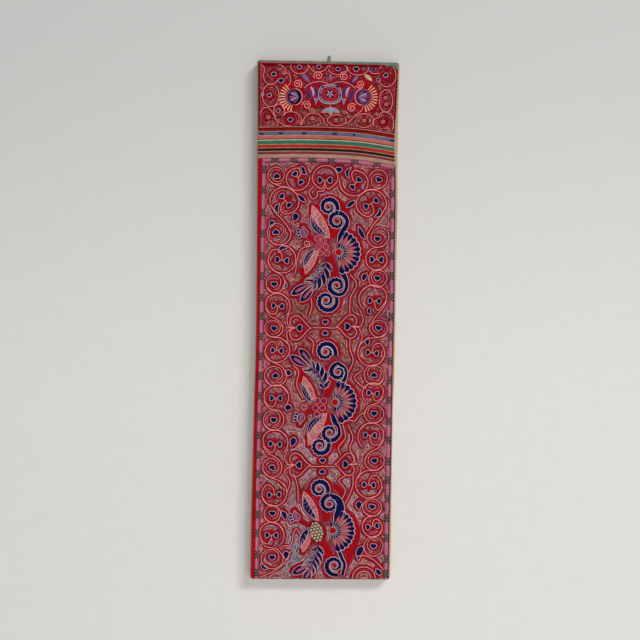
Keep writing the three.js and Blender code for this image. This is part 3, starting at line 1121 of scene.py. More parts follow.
# Scrolls: across, down, the radius, the angle of the heart or pair, and how far that is off the scroll's
# middle. A pair also has half the gap between its hearts, and the angle of its flower
TOP_SCROLLS = (
    (-61.2, 139.0, 10.4, -100, (0, 0.4)),
    (-35.6, 141.9, 14.2, 54, (-0.2, -0.3), 5.9, 132),
    (-3.1, 141.6, 15.4, 0, (-0.2, 2.0), 5.6, -90),
    (31.3, 145.5, 16.8, -48, (2.4, 1.4), 5.7, 49),
    (60.4, 141.7, 11.2, 120, (0.8, 0.5)),
)
LEFT_SCROLLS = (
    (-51.5, 170.0, 17.2, 50, (1.2, -1.2), 6.6, -45),
    (-57.5, 208.4, 13.9, -95, (-3.6, -1.8)),
    (-54.0, 238.7, 17.0, 6, (0.6, 1.6), 5.4, 90),
    (-60.7, 267.9, 11.6, 95, (-1.8, 1.6)),
    (-57.9, 295.3, 15.0, 5, (0, 0), 4.7, -90),
    (-62.3, 322.1, 10.8, 100, (0.4, 0.4)),
    (-57.9, 348.2, 15.0, 3, (0, 0.6), 4.9, 90),
    (-59.2, 378.7, 13.0, -90, (0, 0)),
    (-58.3, 405.4, 15.2, 0, (0, 0.6), 4.8, -90),
    (-60.8, 431.7, 12.6, 95, (0, 0.6)),
    (-58.6, 459.1, 15.2, 3, (0, 2.0), 5.2, -90),
    (-61.5, 488.8, 11.8, -60, (0, 0.4)),
    (-59.0, 519.5, 15.6, -3, (0, 2.4), 5.6, 90),
    (-60.7, 544.6, 10.2, 95, (0, 0)),
    (-61.3, 570.4, 15.2, 0, (0, 0), 5.2, -90),
    (-60.3, 598.4, 12.8, 95, (0, -1.0)),
)
RIGHT_SCROLLS = (
    (52.7, 172.0, 17.8, -31, (-0.3, -1.2), 6.7, -121),
    (61.4, 210.3, 13.0, 100, (-0.6, 3.0)),
    (60.0, 237.1, 13.4, 0, (0, 1.0), 5.3, 90),
    (61.8, 260.5, 10.8, 95, (-0.6, 0)),
    (56.4, 285.0, 16.6, 2, (1.9, 2.6), 5.2, -90),
    (63.4, 320.3, 10.8, 100, (0.2, 0)),
    (55.6, 349.0, 16.6, 6, (0.8, 1.1), 5.0, 90),
    (58.9, 376.3, 12.2, -90, (0, 0)),
    (58.0, 398.6, 12.8, 7, (0, 0), 4.7, -90),
    (59.6, 422.9, 11.2, 95, (0, 0)),
    (56.4, 450.4, 16.0, 3, (-1.4, -1.5), 5.2, -90),
    (60.9, 479.6, 11.4, 85, (0, 0)),
    (54.8, 507.5, 16.4, 2, (-0.2, 1.0), 5.4, 90),
    (58.8, 534.9, 11.2, 100, (0, 0)),
    (59.6, 558.2, 12.4, -9, (0, 0), 5.2, 90),
    (61.1, 582.0, 11.6, 95, (0, 0)),
)
# Small leaves and crescents: where, how long, which way and how wide, and how far they bend
NAVY_LEAVES = (
    (-28.4, 132.4, 11, 55, 2.5, 1.6),
    (26.6, 134.6, 13, 100, 1.3, 3.6),
    (-58.0, 178.4, 11, 95, 1.6, 3.2),
    (60.0, 181.6, 12, 120, 1.5, -3.4),
    (-31.2, 165.6, 14, 42, 1.9, 0),
    (-39.0, 188.6, 10, 105, 2.9, -1.0),
    (28.2, 171.6, 13, -38, 2.0, 0),
    (42.1, 206.4, 17, 62, 1.9, 1.0),
    (-65.8, 197.4, 8, 120, 2.4, 1.0),
    (-52.6, 228.0, 12, -28, 1.5, -2.6),
    (-50.6, 270.4, 9, 110, 1.3, -2.0),
    (46.4, 259.4, 10, 115, 2.3, 1.0),
    (53.4, 299.6, 8, 85, 1.4, 1.8),
    (51.0, 336.6, 9, 95, 2.0, 0.8),
    (-43.4, 375.0, 8, 20, 2.8, 0.6),
    (-43.0, 418.4, 8, 4, 3.0, -1.4),
    (-37.9, 458.4, 11, 105, 2.8, -0.8),
    (-47.2, 546.6, 12, 62, 2.2, -1.2),
    (44.0, 533.6, 10, 95, 2.6, 1.4),
    (-42.6, 594.6, 10, 85, 2.9, 0.8),
    (-69.3, 607.6, 10, 35, 1.6, 1.8),
    (45.8, 591.0, 17, 105, 2.9, 2.2),
    (68.0, 612.6, 9, 48, 2.2, 0.6),
    (-62.0, 578.6, 6, 100, 1.1, 0.3),
)



def lower_scroll(row, start, way, side, size=3.1, both=False):
    """One scroll of the tall panel, with one heart or with a pair and a flower."""
    across, down, radius, angle, middle, *pair = row
    if pair:
        gap, flower = pair
        paired_scroll(lower, (across, down), radius, angle, middle, gap, flower, side, size, both)
    else:
        single_scroll(lower, (across, down), radius, angle, middle, start, way)


TOP_STARTS = (60, 0, 0, 0, 200)
TOP_SIDES = (1, -1, 1, 1, 1)
for number, (row, start, side) in enumerate(zip(TOP_SCROLLS, TOP_STARTS, TOP_SIDES)):
    lower_scroll(row, start, 1, side, both=number == 2)
for rows, side, start in ((LEFT_SCROLLS, 1, -20), (RIGHT_SCROLLS, -1, 200)):
    for number, row in enumerate(rows):
        lower_scroll(row, start, side, side if number == 0 else -side, 3.1 if number < 3 else 2.8)
    for first, second in zip(rows, rows[1:]):
        link(lower, first[:3], second[:3], side)
link(lower, TOP_SCROLLS[0][:3], LEFT_SCROLLS[0][:3], 1)
link(lower, TOP_SCROLLS[4][:3], RIGHT_SCROLLS[0][:3], -1)
for across, down, length, angle, half, bend in NAVY_LEAVES:
    looks = {"outline": PALE, "red": CRIMSON, "fullest": 0.34 if half > 2.3 else 0.5}
    straight_leaf(lower, "navy", (across, down), length, angle, half * 1.2, NAVY, bend, **looks)
navy_heart(lower, (13.4, 131.2), 3.4, 92)
straight_leaf(lower, "red", (71.1, 132.6), 9, -60, 1.9, BRIGHT_RED, rise=0.9, lift=0.1)

# The crosses between the birds: two teardrops, and a heart lying on each side with its point to the middle
CROSSES = ((-0.4, 320.4), (-1.4, 486.8))
SIDE_HEARTS = (
    ((-30.7, 321.4), 14.6, 0),
    ((25.7, 318.8), 14.0, 180),
    ((-29.1, 485.8), 14.2, 0),
    ((25.6, 484.2), 13.6, 180),
)
for across, down in CROSSES:
    for side, tip in ((-1, 90), (1, -90)):
        navy_heart(lower, (across, down + side * 6.4), 2.9, tip)
    for way in (-1, 1):
        stalk = through([(across, down), (across + way * 8, down + 0.6), (across + way * 15, down)])
        vine(lower, stalk, half=1.5)
for centre, half, tip in SIDE_HEARTS:
    outline = evened_ring(heart(centre, half, tip, 60), STEP)
    vine(lower, np.concatenate([outline, outline[:1]]))
    away = unit(tip + 180)
    focus = np.array(centre) + away * half * 0.06
    navy_heart(lower, focus, 3.7, tip + 180, ring=1.6)
    vine(lower, through([focus + away * reach for reach in (4.4, half * 0.6, half)]), half=1.3)

# Free vines between the scrolls and the birds
VINES = (
    ((-17.6, 285.6), (-17.0, 296.0), (-20.6, 308.0)),
    ((-20.4, 332.0), (-14.6, 338.6), (-15.4, 351.6)),
    ((28.6, 256.0), (36.4, 268.4), (29.4, 284.4), (28.6, 304.4)),
    ((29.4, 333.6), (29.6, 346.0), (33.6, 360.0), (28.0, 374.0)),
    ((40.6, 298.0), (44.8, 310.0), (41.4, 318.6), (33.0, 319.4)),
    ((40.0, 344.0), (44.0, 331.0), (40.4, 321.0)),
    ((-44.0, 303.0), (-46.4, 313.0), (-43.0, 320.6), (-36.0, 321.4)),
    ((-44.4, 338.0), (-46.6, 328.0), (-41.4, 322.4)),
    ((-38.0, 366.0), (-31.4, 374.0), (-33.6, 390.0), (-26.0, 406.0)),
    ((-43.0, 466.4), (-47.0, 478.0), (-42.0, 485.4), (-35.0, 486.0)),
    ((-43.4, 519.0), (-40.4, 506.0), (-47.0, 494.0), (-40.0, 487.4)),
    ((-30.0, 529.4), (-30.6, 514.0), (-33.0, 504.0), (-36.0, 496.0)),
    ((22.4, 436.6), (25.6, 452.0), (17.4, 464.0), (20.4, 473.0)),
    ((28.6, 437.0), (34.6, 452.0), (31.0, 463.6), (34.4, 473.0), (38.0, 482.6)),
    ((41.4, 501.0), (45.0, 490.0), (41.4, 483.4), (34.4, 484.2)),
    ((26.0, 497.6), (18.6, 504.0), (26.4, 515.0), (22.4, 526.4)),
    ((35.4, 497.0), (35.4, 509.0), (31.4, 521.0), (26.0, 531.4)),
    ((28.0, 430.4), (36.4, 432.0), (42.0, 425.4), (50.0, 421.4)),
    (
        (-17.6, 152.6),
        (-22.0, 158.6),
        (-18.0, 166.4),
        (-12.4, 163.0),
        (-12.0, 157.6),
        (-5.0, 156.6),
        (-3.4, 152.0),
    ),
    ((45.0, 371.0), (35.4, 379.4), (41.6, 388.0), (50.0, 393.0)),
    ((-48.6, 583.6), (-37.8, 581.0), (-35.4, 569.0), (-31.6, 562.0), (-26.4, 570.4)),
    ((-74.0, 621.0), (-58.0, 613.4), (-46.0, 604.0), (-37.0, 588.0)),
    ((-19.2, 222.6), (-30.6, 227.0), (-35.4, 240.0), (-37.0, 256.0)),
)
for points in VINES:
    vine(lower, through(points), half=2.0)

# The arch and the slanting band in the bottom right corner
vine(lower, through([(40.4, 594.0), (53.0, 594.0), (66.0, 602.0), (77.4, 615.6)]), half=3.2)
for radius, half in ((13.6, 2.6), (8.4, 1.6)):
    vine(lower, turn_path((50.0, 620.5), radius, radius, 180, 0.5), half=half)


class Bird:
    """A bird seen from the side, its head to the left and its fan of plumes to the right."""

    FAN_RADIUS = 26.2
    PLUMES = 11
    PLUME_TONES = (DUSTY_PINK, ROSE, FAWN)
    WING_TONES = (SALMON, ROSE, BEIGE, MAUVE, BLUSH)
    RUFFLE_HALF = 2.5
    RUFFLE_PITCH = 3.9
    KNOT = 3.5
    BODY_LEAN = -13
    CELL = 2.1
    BARB_REACH = 13.4
    BARBS = 11

    def __init__(self, centre, flip, fan_centre, body=PLUM_RED, cells=ROSE, rims=BLUSH, dashes=(-84, 104)):
        self.centre = np.array(centre, float)
        self.flip = flip
        self.fan_centre = fan_centre
        self.body_colour = body
        self.cell_colour = cells
        self.rim_colour = rims
        self.dashes = dashes

    def at(self, points):
        """A place or places on the panel, from the bird's own frame in mm from its body."""
        return self.centre + np.asarray(points, float) * (1, self.flip)

    def ground(self, points, half):
        """The red cloth that shows under a part of the bird."""
        path = through(self.at(points), 1.4)
        widths = half * 0.8 * np.sin(np.linspace(0.16, 0.84, len(path)) * math.pi) ** 0.5
        lower.ridge("red", path, widths, 0.5, -0.12, BRIGHT_RED, BAND)

    def ruffle(self, centre, radii, start, turns, drift=(0, 0)):
        """A scalloped navy spiral with pale edges and a red middle, which winds in from the end of its
        ribbon."""
        centre = self.at(centre)
        half = self.RUFFLE_HALF
        path = turn_path(centre, radii[0], radii[1], start * self.flip, turns * self.flip, 0.7, ease=0.72)
        part = np.linspace(0, 1, len(path))
        path = path + np.array(drift) * (1, self.flip) * ((1 - part) ** 2)[:, None]
        narrowing = (half * 0.9, half, half * 0.62, half * 0.45, half * 0.2)
        taper = np.interp(part, (0, 0.12, 0.5, 0.8, 1), narrowing)
        bumps = np.interp(part, (0, 0.1, 0.2, 0.66, 0.75), (0, 0, 1.0, 1.0, 0))
        bumps = bumps * np.abs(np.sin(lengths(path) * math.pi / self.RUFFLE_PITCH)) * 1.3
        side = sideways(path)
        outward = side * np.sign((side * (path - centre)).sum(1))[:, None]
        band = path + outward * bumps[:, None] / 2
        widths = taper + bumps / 2
        rim = path + outward * (taper + 1.9)[:, None]
        lower.ridge("red", rim[: int(len(rim) * 0.8)], 2.0, 0.5, -0.1, BRIGHT_RED, BAND)
        red_ground(lower, disc(centre, radii[0] * 0.66, 24), 0.4, -0.1)
        lower.patch("fill", disc(centre, 5.0, 22), 0.4, 0.05, DIM_ROSE)
        navy_band(lower, band, widths)
        pale_line(lower, band + outward * (widths + 0.3)[:, None], half=0.36)
        pale_line(lower, path - outward * (taper + 0.3)[:, None], half=0.34)
        between = (path - outward * (taper + 1.5)[:, None])[: int(len(path) * 0.72)]
        lower.ridge("cord", between, 0.42, PALE_RISE, PALE_LIFT - 0.1, SALMON)
        red_ground(lower, disc(centre, 1.9, 14), 0.9, 0.5)

    def ribbon(self, points, half):
        """A plain navy ribbon with pale edges on a red ground."""
        path = through(self.at(points), 0.9)
        widths = 1.2 * np.interp(np.linspace(0, 1, len(path)), np.linspace(0, 1, len(half)), half)
        side = sideways(path)
        lower.ridge("red", path, widths + 2.7, 0.45, -0.12, BRIGHT_RED, BAND)
        navy_band(lower, path, widths)
        for sign in (-1, 1):
            pale_line(lower, path + side * sign * (widths + 0.3)[:, None], half=0.36)

    def fan(self, first=-76, last=86):
        """A red eye, navy dashes, pink plumes, and a navy rim with rounded ends outside and points inside."""
        radius, flip, count = self.FAN_RADIUS, self.flip, self.PLUMES
        centre = self.at(self.fan_centre)
        span = last - first
        spread = span / count

        def round_eye(far, before=0, after=0, step=STEP):
            """A path round the eye over the fan's angles, and some degrees before and after them."""
            turns = (span + before + after) / 360
            return turn_path(centre, far, far, (first - before) * flip, turns * flip, step)

        def spoke(angle, *reaches):
            """Places along one direction from the eye."""
            return [centre + unit(angle * flip) * reach for reach in reaches]

        lower.ridge("red", round_eye(radius + 2.0, 4, 4), 2.3, 0.5, -0.05, BRIGHT_RED, BAND)
        for share, half in ((0.34, 4.2), (0.6, 4.6)):
            lower.ridge("fill", round_eye(radius * share, 6, 8), half, 0.35, -0.05, DIM_ROSE, BAND)
        rim = round_eye(radius - 4.6, step=0.9)
        navy_band(lower, rim, 4.5 * np.sin(np.linspace(0.1, 0.9, len(rim)) * math.pi) ** 0.3, -0.1)
        for number in range(count):
            point = spoke(first + spread * (number + 0.5), radius - 12.2, radius - 5.0, radius + 0.4)
            petal(lower, point, 3.3, NAVY, 0.7, NAVY_RISE, NAVY_LIFT, "navy")
        border = []
        for part in np.linspace(0, 1, 170):
            bulge = abs(math.sin(part * math.pi * count)) ** 0.7
            border += spoke(first + span * part, radius - 1.9 + 2.5 * bulge)
        pale_line(lower, np.array(border), half=0.45)
        for number in range(count + 1):
            far = radius - (3.0 if 0 < number < count else 7.0)
            places = spoke(first + spread * number, 9.4, 15.0, far)
            plume = petal(lower, places, 2.1, self.PLUME_TONES[number % 3], 0.4, FILL_RISE, FILL_LIFT + 0.45)
            lower.ridge("pale", plume[len(plume) // 3 :], 0.3, PALE_RISE * 0.7, PALE_LIFT + 0.6, BLUSH)
        for angle in np.arange(self.dashes[0], self.dashes[1] + 1, 19.5):
            dash = spoke(angle, 5.0, 7.4, 10.2)
            petal(lower, dash, 1.65, NAVY, 0.6, NAVY_RISE, NAVY_LIFT + 0.2, "navy", 0.7)
            pale_line(lower, through(spoke(angle + 9.8, 4.6, 7.4, 10.4), 0.9), half=0.34, lift=0.15)
        red_ground(lower, disc(centre, 3.4, 18), 1.1, 0.3)
        pale_line(lower, evened_ring(disc(centre, 4.1, 24), 0.8), closed=True, tint=SALMON, half=0.5)

    def feather(self, points, half, barbs, sign):
        """A navy feather with pale barbs slanting off it."""
        path = through(self.at(points), 0.9)
        half = half * 1.15
        widths = leaf_widths(len(path), half, 0.5)
        navy_band(lower, path, widths, 0.2)
        pale_line(lower, leaf_ring(path, widths, 0.4, 0.9), closed=True)
        ahead = directions(path)
        side = sideways(path) * sign * self.flip
        for i in np.linspace(4, len(path) - 5, barbs).astype(int):
            root = path[i] + ahead[i] * 1.4 - side[i] * half * 0.2
            tip = path[i] - ahead[i] * 2.4 + side[i] * half * 1.05
            lower.ridge("pale", through([root, (root + tip) / 2, tip], 0.8), 0.28, 0.9, 0.75, LILAC)

    def wing(self, points, half):
        """A long leaf of pink and beige stitches inside a red border."""
        path = through(self.at(points), 1.0)
        widths = leaf_widths(len(path), half, 0.5)
        lower.ridge("fill", path, widths * 0.86, 0.4, 0.0, DUSTY_PINK, BAND)
        inner = slice(2, -2)
        for share in np.linspace(-0.8, 0.8, 7):
            inside = path[inner] + sideways(path)[inner] * (widths[inner] * share)[:, None]
            shade = np.array([picked(self.WING_TONES, (1,) * len(self.WING_TONES), 0.3) for _ in inside])
            lower.ridge("fill", inside, widths[inner] * 0.13 + 0.1, 0.6, 0.25, shade)
        red_band(lower, leaf_ring(path, widths, 0.8), 1.7, closed=True)
        pale_line(lower, leaf_ring(path, widths, -0.4), closed=True, tint=PINK_CORD, half=0.42)

    def body(self, half_wide, half_tall):
        """An oval body covered with rings of chain stitch."""
        lean = self.BODY_LEAN * self.flip
        centre = self.at((0.4, 0.8))
        size = self.CELL
        outline = oval(centre, half_wide, half_tall, 34, lean=lean)
        rim = evened_ring(offset(outline, 1.6), 1.0)
        lower.ridge("red", rim, 1.5, 0.6, 0.0, BRIGHT_RED, BAND, closed=True)
        lower.patch("fill", outline, 0.8, 0.3, self.body_colour)
        pale_line(lower, evened_ring(outline, 0.9), closed=True, tint=self.rim_colour)
        cos, sin = math.cos(math.radians(lean)), math.sin(math.radians(lean))
        rows = int(half_tall / size) + 1
        for row in range(-rows, rows + 1):
            for column in range(-3, 4):
                x, y = (column + 0.5 * (row % 2)) * size * 1.95, row * size * 1.68
                if (x / (half_wide - size * 0.6)) ** 2 + (y / (half_tall - size * 0.5)) ** 2 > 1:
                    continue
                place = centre + (x * cos - y * sin, x * sin + y * cos)
                lower.patch("fill", disc(place, size * 0.66, 12), 0.3, 0.95, self.cell_colour)
                ring = disc(place, size * 0.86, 16)
                lower.ridge("pale", ring, size * 0.13, 0.6, 0.95, self.rim_colour, closed=True)

    def knots(self, places):
        """A body of round chain-stitched knots that lie side by side, each with a pale rim."""
        size = self.KNOT
        centres = [self.at(place) for place in places]
        for spread, tint in ((2.0, CRIMSON), (0.9, MAGENTA)):
            for centre in centres:
                lower.patch("red", disc(centre, size + spread, 22), 0.5, 0.2 - spread * 0.1, tint)
        for centre in centres:
            lower.patch("fill", disc(centre, size * 0.9, 20), 0.6, 0.3, self.body_colour)
            for share, half, tint in ((1.0, 0.46, self.rim_colour), (0.46, 0.5, self.cell_colour)):
                pale_line(lower, disc(centre, size * share, 22), closed=True, tint=tint, half=half, lift=0.15)

    def head(self, place, lean):
        """A mauve bud with a pale rim, and three navy spikes beside it."""
        centre = self.at(place)
        along = unit(lean * self.flip)
        side = np.array([-along[1], along[0]]) * self.flip
        path = through([centre - along * 7.0, centre + side * 0.6, centre + along * 6.0], 0.8)
        widths = leaf_widths(len(path), 4.2, 0.62)
        red_band(lower, leaf_ring(path, widths, 2.2), 1.6, closed=True)
        navy_band(lower, path, widths, -0.1, PURPLE)
        lower.ridge("fill", path[2:-2], widths[2:-2] * 0.62, 0.9, 0.45, MAUVE, BAND)
        pale_line(lower, leaf_ring(path, widths, 0.4, 0.9), closed=True)
        for turn in (-34, 0, 34):
            ahead = side * math.cos(math.radians(turn)) + along * math.sin(math.radians(turn))
            root = centre + side * 4.6 + along * turn * 0.07
            spike = through([root, root + ahead * 2.4, root + ahead * 5.4], 0.7)
            lower.ridge("red", spike, 2.2, 0.5, -0.1, BRIGHT_RED)
            spans = leaf_widths(len(spike), 1.45, 0.35)
            navy_band(lower, spike, spans, 0.2, section=CORD)
            pale_line(lower, leaf_ring(spike, spans, 0.3, 0.8), closed=True, half=0.26)

    def tail(self, points, lobes, half=5.6):
        """A navy plume with a purple stalk, navy and pale barbs on both sides and two lobes at its end."""
        path = through(self.at(points), 0.9)
        count = len(path)
        part = np.linspace(0, 1, count)
        widths = np.interp(part, (0, 0.25, 0.75, 1), (1.0, 2.8, half, half * 0.7))
        ahead = directions(path)
        side = sideways(path)
        lower.ridge("red", path, np.interp(part, (0, 0.3, 1), (2.5, 7.0, 10.0)), 0.4, -0.15, BRIGHT_RED, BAND)
        navy_band(lower, path, widths, -0.1)
        for number, i in enumerate(np.linspace(count * 0.14, count * 0.95, self.BARBS).astype(int)):
            size = self.BARB_REACH * (0.66 + 0.34 * math.sin(math.pi * i / count))
            for sign in (-1, 1):
                out = side[i] * sign
                root = path[i] + out * widths[i] * 0.2
                tip = path[i] + out * (widths[i] * 0.5 + size * 0.5) + ahead[i] * size * 0.82
                barb = through([root, (root + tip) / 2 + out * 1.2, tip], 0.8)
                if number % 2:
                    spans = leaf_widths(len(barb), 2.8, 0.36)
                    lower.ridge("navy", barb, spans, 0.6, 0.3, NAVY, BAND)
                    pale_line(lower, leaf_outline(barb, spans, 0.3)[2:-1], half=0.24)
                else:
                    tone = (SALMON, SAND)[number // 2 % 2]
                    pale_line(lower, barb, tint=tone, half=0.55, lift=-0.15)
        for shift, tone in ((-0.8, PURPLE), (0.8, MAUVE)):
            lower.ridge("fill", path + side * shift, 0.6, 0.9, 0.65, tone)
        for lobe in lobes:
            self.lobe(through(self.at(lobe), 0.9))

    def lobe(self, path):
        """A navy leaf with a mauve middle and a rosy vein, inside a red border."""
        widths = leaf_widths(len(path), 4.6, 0.6)
        red_band(lower, leaf_ring(path, widths, 2.2), 1.7, closed=True)
        navy_band(lower, path, widths)
        inner = slice(3, int(len(path) * 0.8))
        lower.ridge("fill", path[inner], widths[inner] * 0.46, 0.8, 0.6, MAUVE, BAND)
        lower.ridge("pale", path[inner], 0.5, 0.8, 0.9, ROSE)
        pale_line(lower, leaf_ring(path, widths, 0.4, 0.9), closed=True)


def whole_bird(bird, spirals, ribbons, knots):
    """The full bird. spirals are its four ruffles, and ribbons the bands that lead to them."""
    for points, half in (
        ([(-8.0, -50.0), (2, -38), (12, -24), (12, -10)], 9.0),
        ([(20, -52), (26, -44), (27, -34)], 6.0),
        ([(8, 10), (11, 22), (14, 34), (8, 48)], 7.5),
        ([(-26.0, 26.0), (-20.0, 38.0), (-26.0, 48.0)], 6.0),
    ):
        bird.ground(points, half)
    bird.wing([(-13.5, -49.0), (-5.0, -29.0), (8.5, -9.0)], 7.0)
    bird.wing([(-20.5, 34.5), (-13.8, 17.0), (-4.6, 4.6)], 5.8)
    bird.ground([(-20.0, -13.0), (-13.0, -8.0), (-5.0, -4.0)], 3.4)
    bird.feather([(-14.6, -36.0), (-9.0, -23.0), (5.2, -10.0)], 2.8, 7, -1)
    bird.feather([(-22.6, 26.0), (-17.4, 13.6), (-9.6, 3.4)], 2.6, 6, 1)
    bird.head((-22.2, -16.2), 76)
    curl = bird.at((-19.6, -2.2))
    vine(lower, turn_path(curl, 4.4, 1.4, 60 * bird.flip, -1.2 * bird.flip), half=1.6)
    bird.tail(
        [(3.6, 13.0), (3.4, 26.0), (-3.0, 37.6), (-13.0, 45.6)],
        [[(-12.6, 44.6), (-25.0, 51.4), (-37.0, 59.2)], [(-9.6, 46.0), (-17.0, 57.0), (-26.0, 67.4)]],
    )
    bird.fan()
    for points, half in ribbons:
        bird.ribbon(points, half)
    for spiral in spirals:
        bird.ruffle(*spiral)
    bird.knots(knots)


# A ruffle has its middle, its two radii, where it starts, how often it turns and how far its start is drawn
# aside. A ribbon has its places and its half widths along them
whole_bird(
    Bird((-4.8, 222.6), 1, (19.2, 7.3)),
    (
        ((17.5, 47.3), (11.0, 3.0), 75, 1.3),
        ((4.4, 65.0), (12.4, 3.4), -30, 1.7, (2.3, 2.9)),
        ((17.1, -30.1), (12.0, 3.6), 0, -1.3),
        ((6.4, -46.8), (12.0, 3.0), 38, -1.4),
    ),
    (
        (((18.4, -4.3), (20.4, -11.3), (24.4, -18.8), (28.1, -25.2), (29.1, -31)), (0.6, 2.0, 2.7, 2.3, 1.9)),
        (((24.5, 33.0), (28.6, 40.8), (29.2, 48.9), (26.0, 55.9), (19.6, 58.6)), (3.0, 1.9, 1.7, 1.7, 1.8)),
    ),
    ((-6.6, -8.8), (0.8, -6.8), (-4.8, 0.4), (4.0, 0.8), (-3.0, 8.6), (5.2, 8.8)),
)
whole_bird(
    Bird((-5.4, 413.6), -1, (17.8, 3.6), cells=WINE),
    (
        ((21.2, 40.2), (10.2, 2.8), 92, 1.25),
        ((5.8, 64.4), (12.0, 3.4), -20, 1.6, (0.8, -0.6)),
        ((12.4, -33.0), (11.4, 3.2), 0, -1.3),
        ((0.8, -48.7), (12.2, 3.0), 44, -1.4),
    ),
    (
        (((14.8, -10.9), (18.3, -20.2), (22.6, -26.0), (23.8, -34.2)), (1.8, 2.6, 1.4, 1.7)),
        (((25.8, 25.1), (30.5, 35.6), (28.7, 44.9), (20.6, 50.4)), (2.4, 1.6, 1.6, 1.8)),
    ),
    ((-3.4, 5.2), (4.4, 5.0), (-5.2, -3.2), (3.2, -3.4), (-3.2, -11.2)),
)

# The last bird is shorter, with an oval body
last_bird = Bird((-7.8, 564.9), 1, (19.9, -1.2), BEIGE, CREAM, linear(66, 40, 40), (-100, 96))
for points, half in (
    ([(-11, -52), (2, -44), (10, -30), (12, -12)], 9.0),
    ([(20, -56), (30, -46), (33, -32)], 5.0),
    ([(6, 12), (12, 24), (17, 40), (20, 54)], 10.0),
    ([(42, -20), (49, 2), (42, 26), (33, 48)], 5.5),
):
    last_bird.ground(points, half)
last_bird.wing([(-16.0, -48.0), (-8.0, -30.0), (3.0, -12.0)], 6.6)
last_bird.wing([(-16.0, 26.0), (-12.0, 12.0), (-6.0, 3.0)], 5.0)
last_bird.ground([(-22.0, -14.0), (-15.0, -10.0), (-7.0, -6.0)], 3.2)
last_bird.feather([(-16.4, -43.0), (-11.4, -28.0), (0.0, -13.0)], 3.4, 6, -1)
last_bird.feather([(-19.0, 19.0), (-15.0, 7.0), (-9.0, -4.0)], 2.8, 4, 1)
last_bird.head((-24.0, -17.6), 70)
last_bird.tail(
    [(1.4, 12.0), (1.4, 24.0), (-3.0, 36.0), (-8.0, 45.0)],
    [[(-6.0, 41.0), (-16.0, 45.0), (-28.0, 52.0)], [(-5.0, 43.0), (-9.0, 52.0), (-15.0, 59.0)]],
    half=6.4,
)
last_bird.fan(first=-66, last=80)
upper_ribbon = [(24.0, -10.0), (25.6, -18.0), (28.4, -27.3), (25.4, -37.8), (16.5, -43.4)]
last_bird.ribbon(upper_ribbon, (2.4, 4.2, 4.2, 3.4, 1.9))
last_bird.ribbon([(27.0, 22.0), (31.0, 32.0), (34.6, 40.0), (32.0, 52.0)], (1.8, 1.6, 1.5, 1.5))
last_bird.ruffle((15.8, -33.2), (11.0, 3.4), -86, -1.2)
last_bird.ruffle((3.0, -50.6), (11.6, 3.0), 34, -1.4)
last_bird.ruffle((22.6, 41.0), (12.0, 3.4), 70, 1.3)
last_bird.body(8.2, 12.2)


def lower_thread(row, across, down):
    """Thread colours of the tall panel: red beside the bands, then pale and rosy rows in turn, browner half
    way down and paler low down, with teal in the bottom left corner."""
    corner = math.exp(-(((across + 36) / 10) ** 2) - ((down - 592) / 22) ** 2)
    if RNG.random() < 1.1 * corner:
        return picked((TEAL, GREY_BLUE, PALE), (3, 1, 1.2))
    if row == 0 and abs(across) > 41:
        return picked((ROSE, BLUSH, MAUVE, WINE, SAND, DEEP_RED), (2.4, 1.6, 1.6, 1.2, 1.2, 1.4))
    if row == 0:
        return picked((CRIMSON, MAGENTA, ROSE, DEEP_RED, MAUVE, WINE), (1.6, 0.8, 1.8, 1.8, 0.8, 1.2))
    middle = math.exp(-(((down - 325) / 60) ** 2))
    low = 1 / (1 + math.exp(-(down - 455) / 20))
    inner = 1 / (1 + math.exp((abs(across) - 38) / 4))
    if RNG.random() < low * (0.25 + 0.35 * inner):
        return picked((PALE, SAND, GREY_BLUE, LILAC, CREAM), (2.4, 1.4, 1.0, 1.0, 2.2))
    if RNG.random() < 0.5 * middle * inner:
        return picked((UMBER, OLIVE, SAND, DEEP_RED), (2.0, 1.6, 1.2, 0.8))
    patchy = 1 + 0.5 * math.sin(across * 0.23 + 1.3) * math.sin(down * 0.19)
    if row % 2:
        colours = (BLUSH, SAND, LILAC, PALE, GREY_BLUE, OLIVE, UMBER, CRIMSON)
        weights = (
            2.6,
            (2.6 + 1.6 * inner + 1.4 * low) * patchy,
            1.6 - inner * 0.8 + low,
            0.6 + (1.4 + 3.4 * inner) * low,
            0.3 + 1.4 * low,
            0.9 + 2.2 * middle,
            3.4 * middle * inner,
            0.5,
        )
    else:
        colours = (ROSE, MAUVE, BLUSH, SAND, OLIVE, CRIMSON, WINE, GREY_BLUE)
        weights = (
            2.6,
            1.4,
            1.8,
            (1.5 + 1.8 * low) * patchy,
            1.0 + 1.8 * middle,
            1.0,
            0.6 - 0.4 * low,
            0.2 + low,
        )
    return picked(colours, weights)


def upper_thread(row, across, down):
    """Thread colours of the upper panel: redder beside the bands."""
    if row == 0:
        return picked((CRIMSON, MAGENTA, ROSE, MAUVE, OLIVE, BLUSH), (1.6, 1.0, 2.6, 1.2, 1.4, 1.6))
    return picked((ROSE, BLUSH, MAUVE, SAND, OLIVE, MAGENTA, CRIMSON), (2.4, 2.0, 1.6, 2.6, 1.8, 0.8, 0.8))


# The upper panel
upper = Panel(sewn_left, sewn_right, heading_seam, seam, (-90, 90, -2, 96))

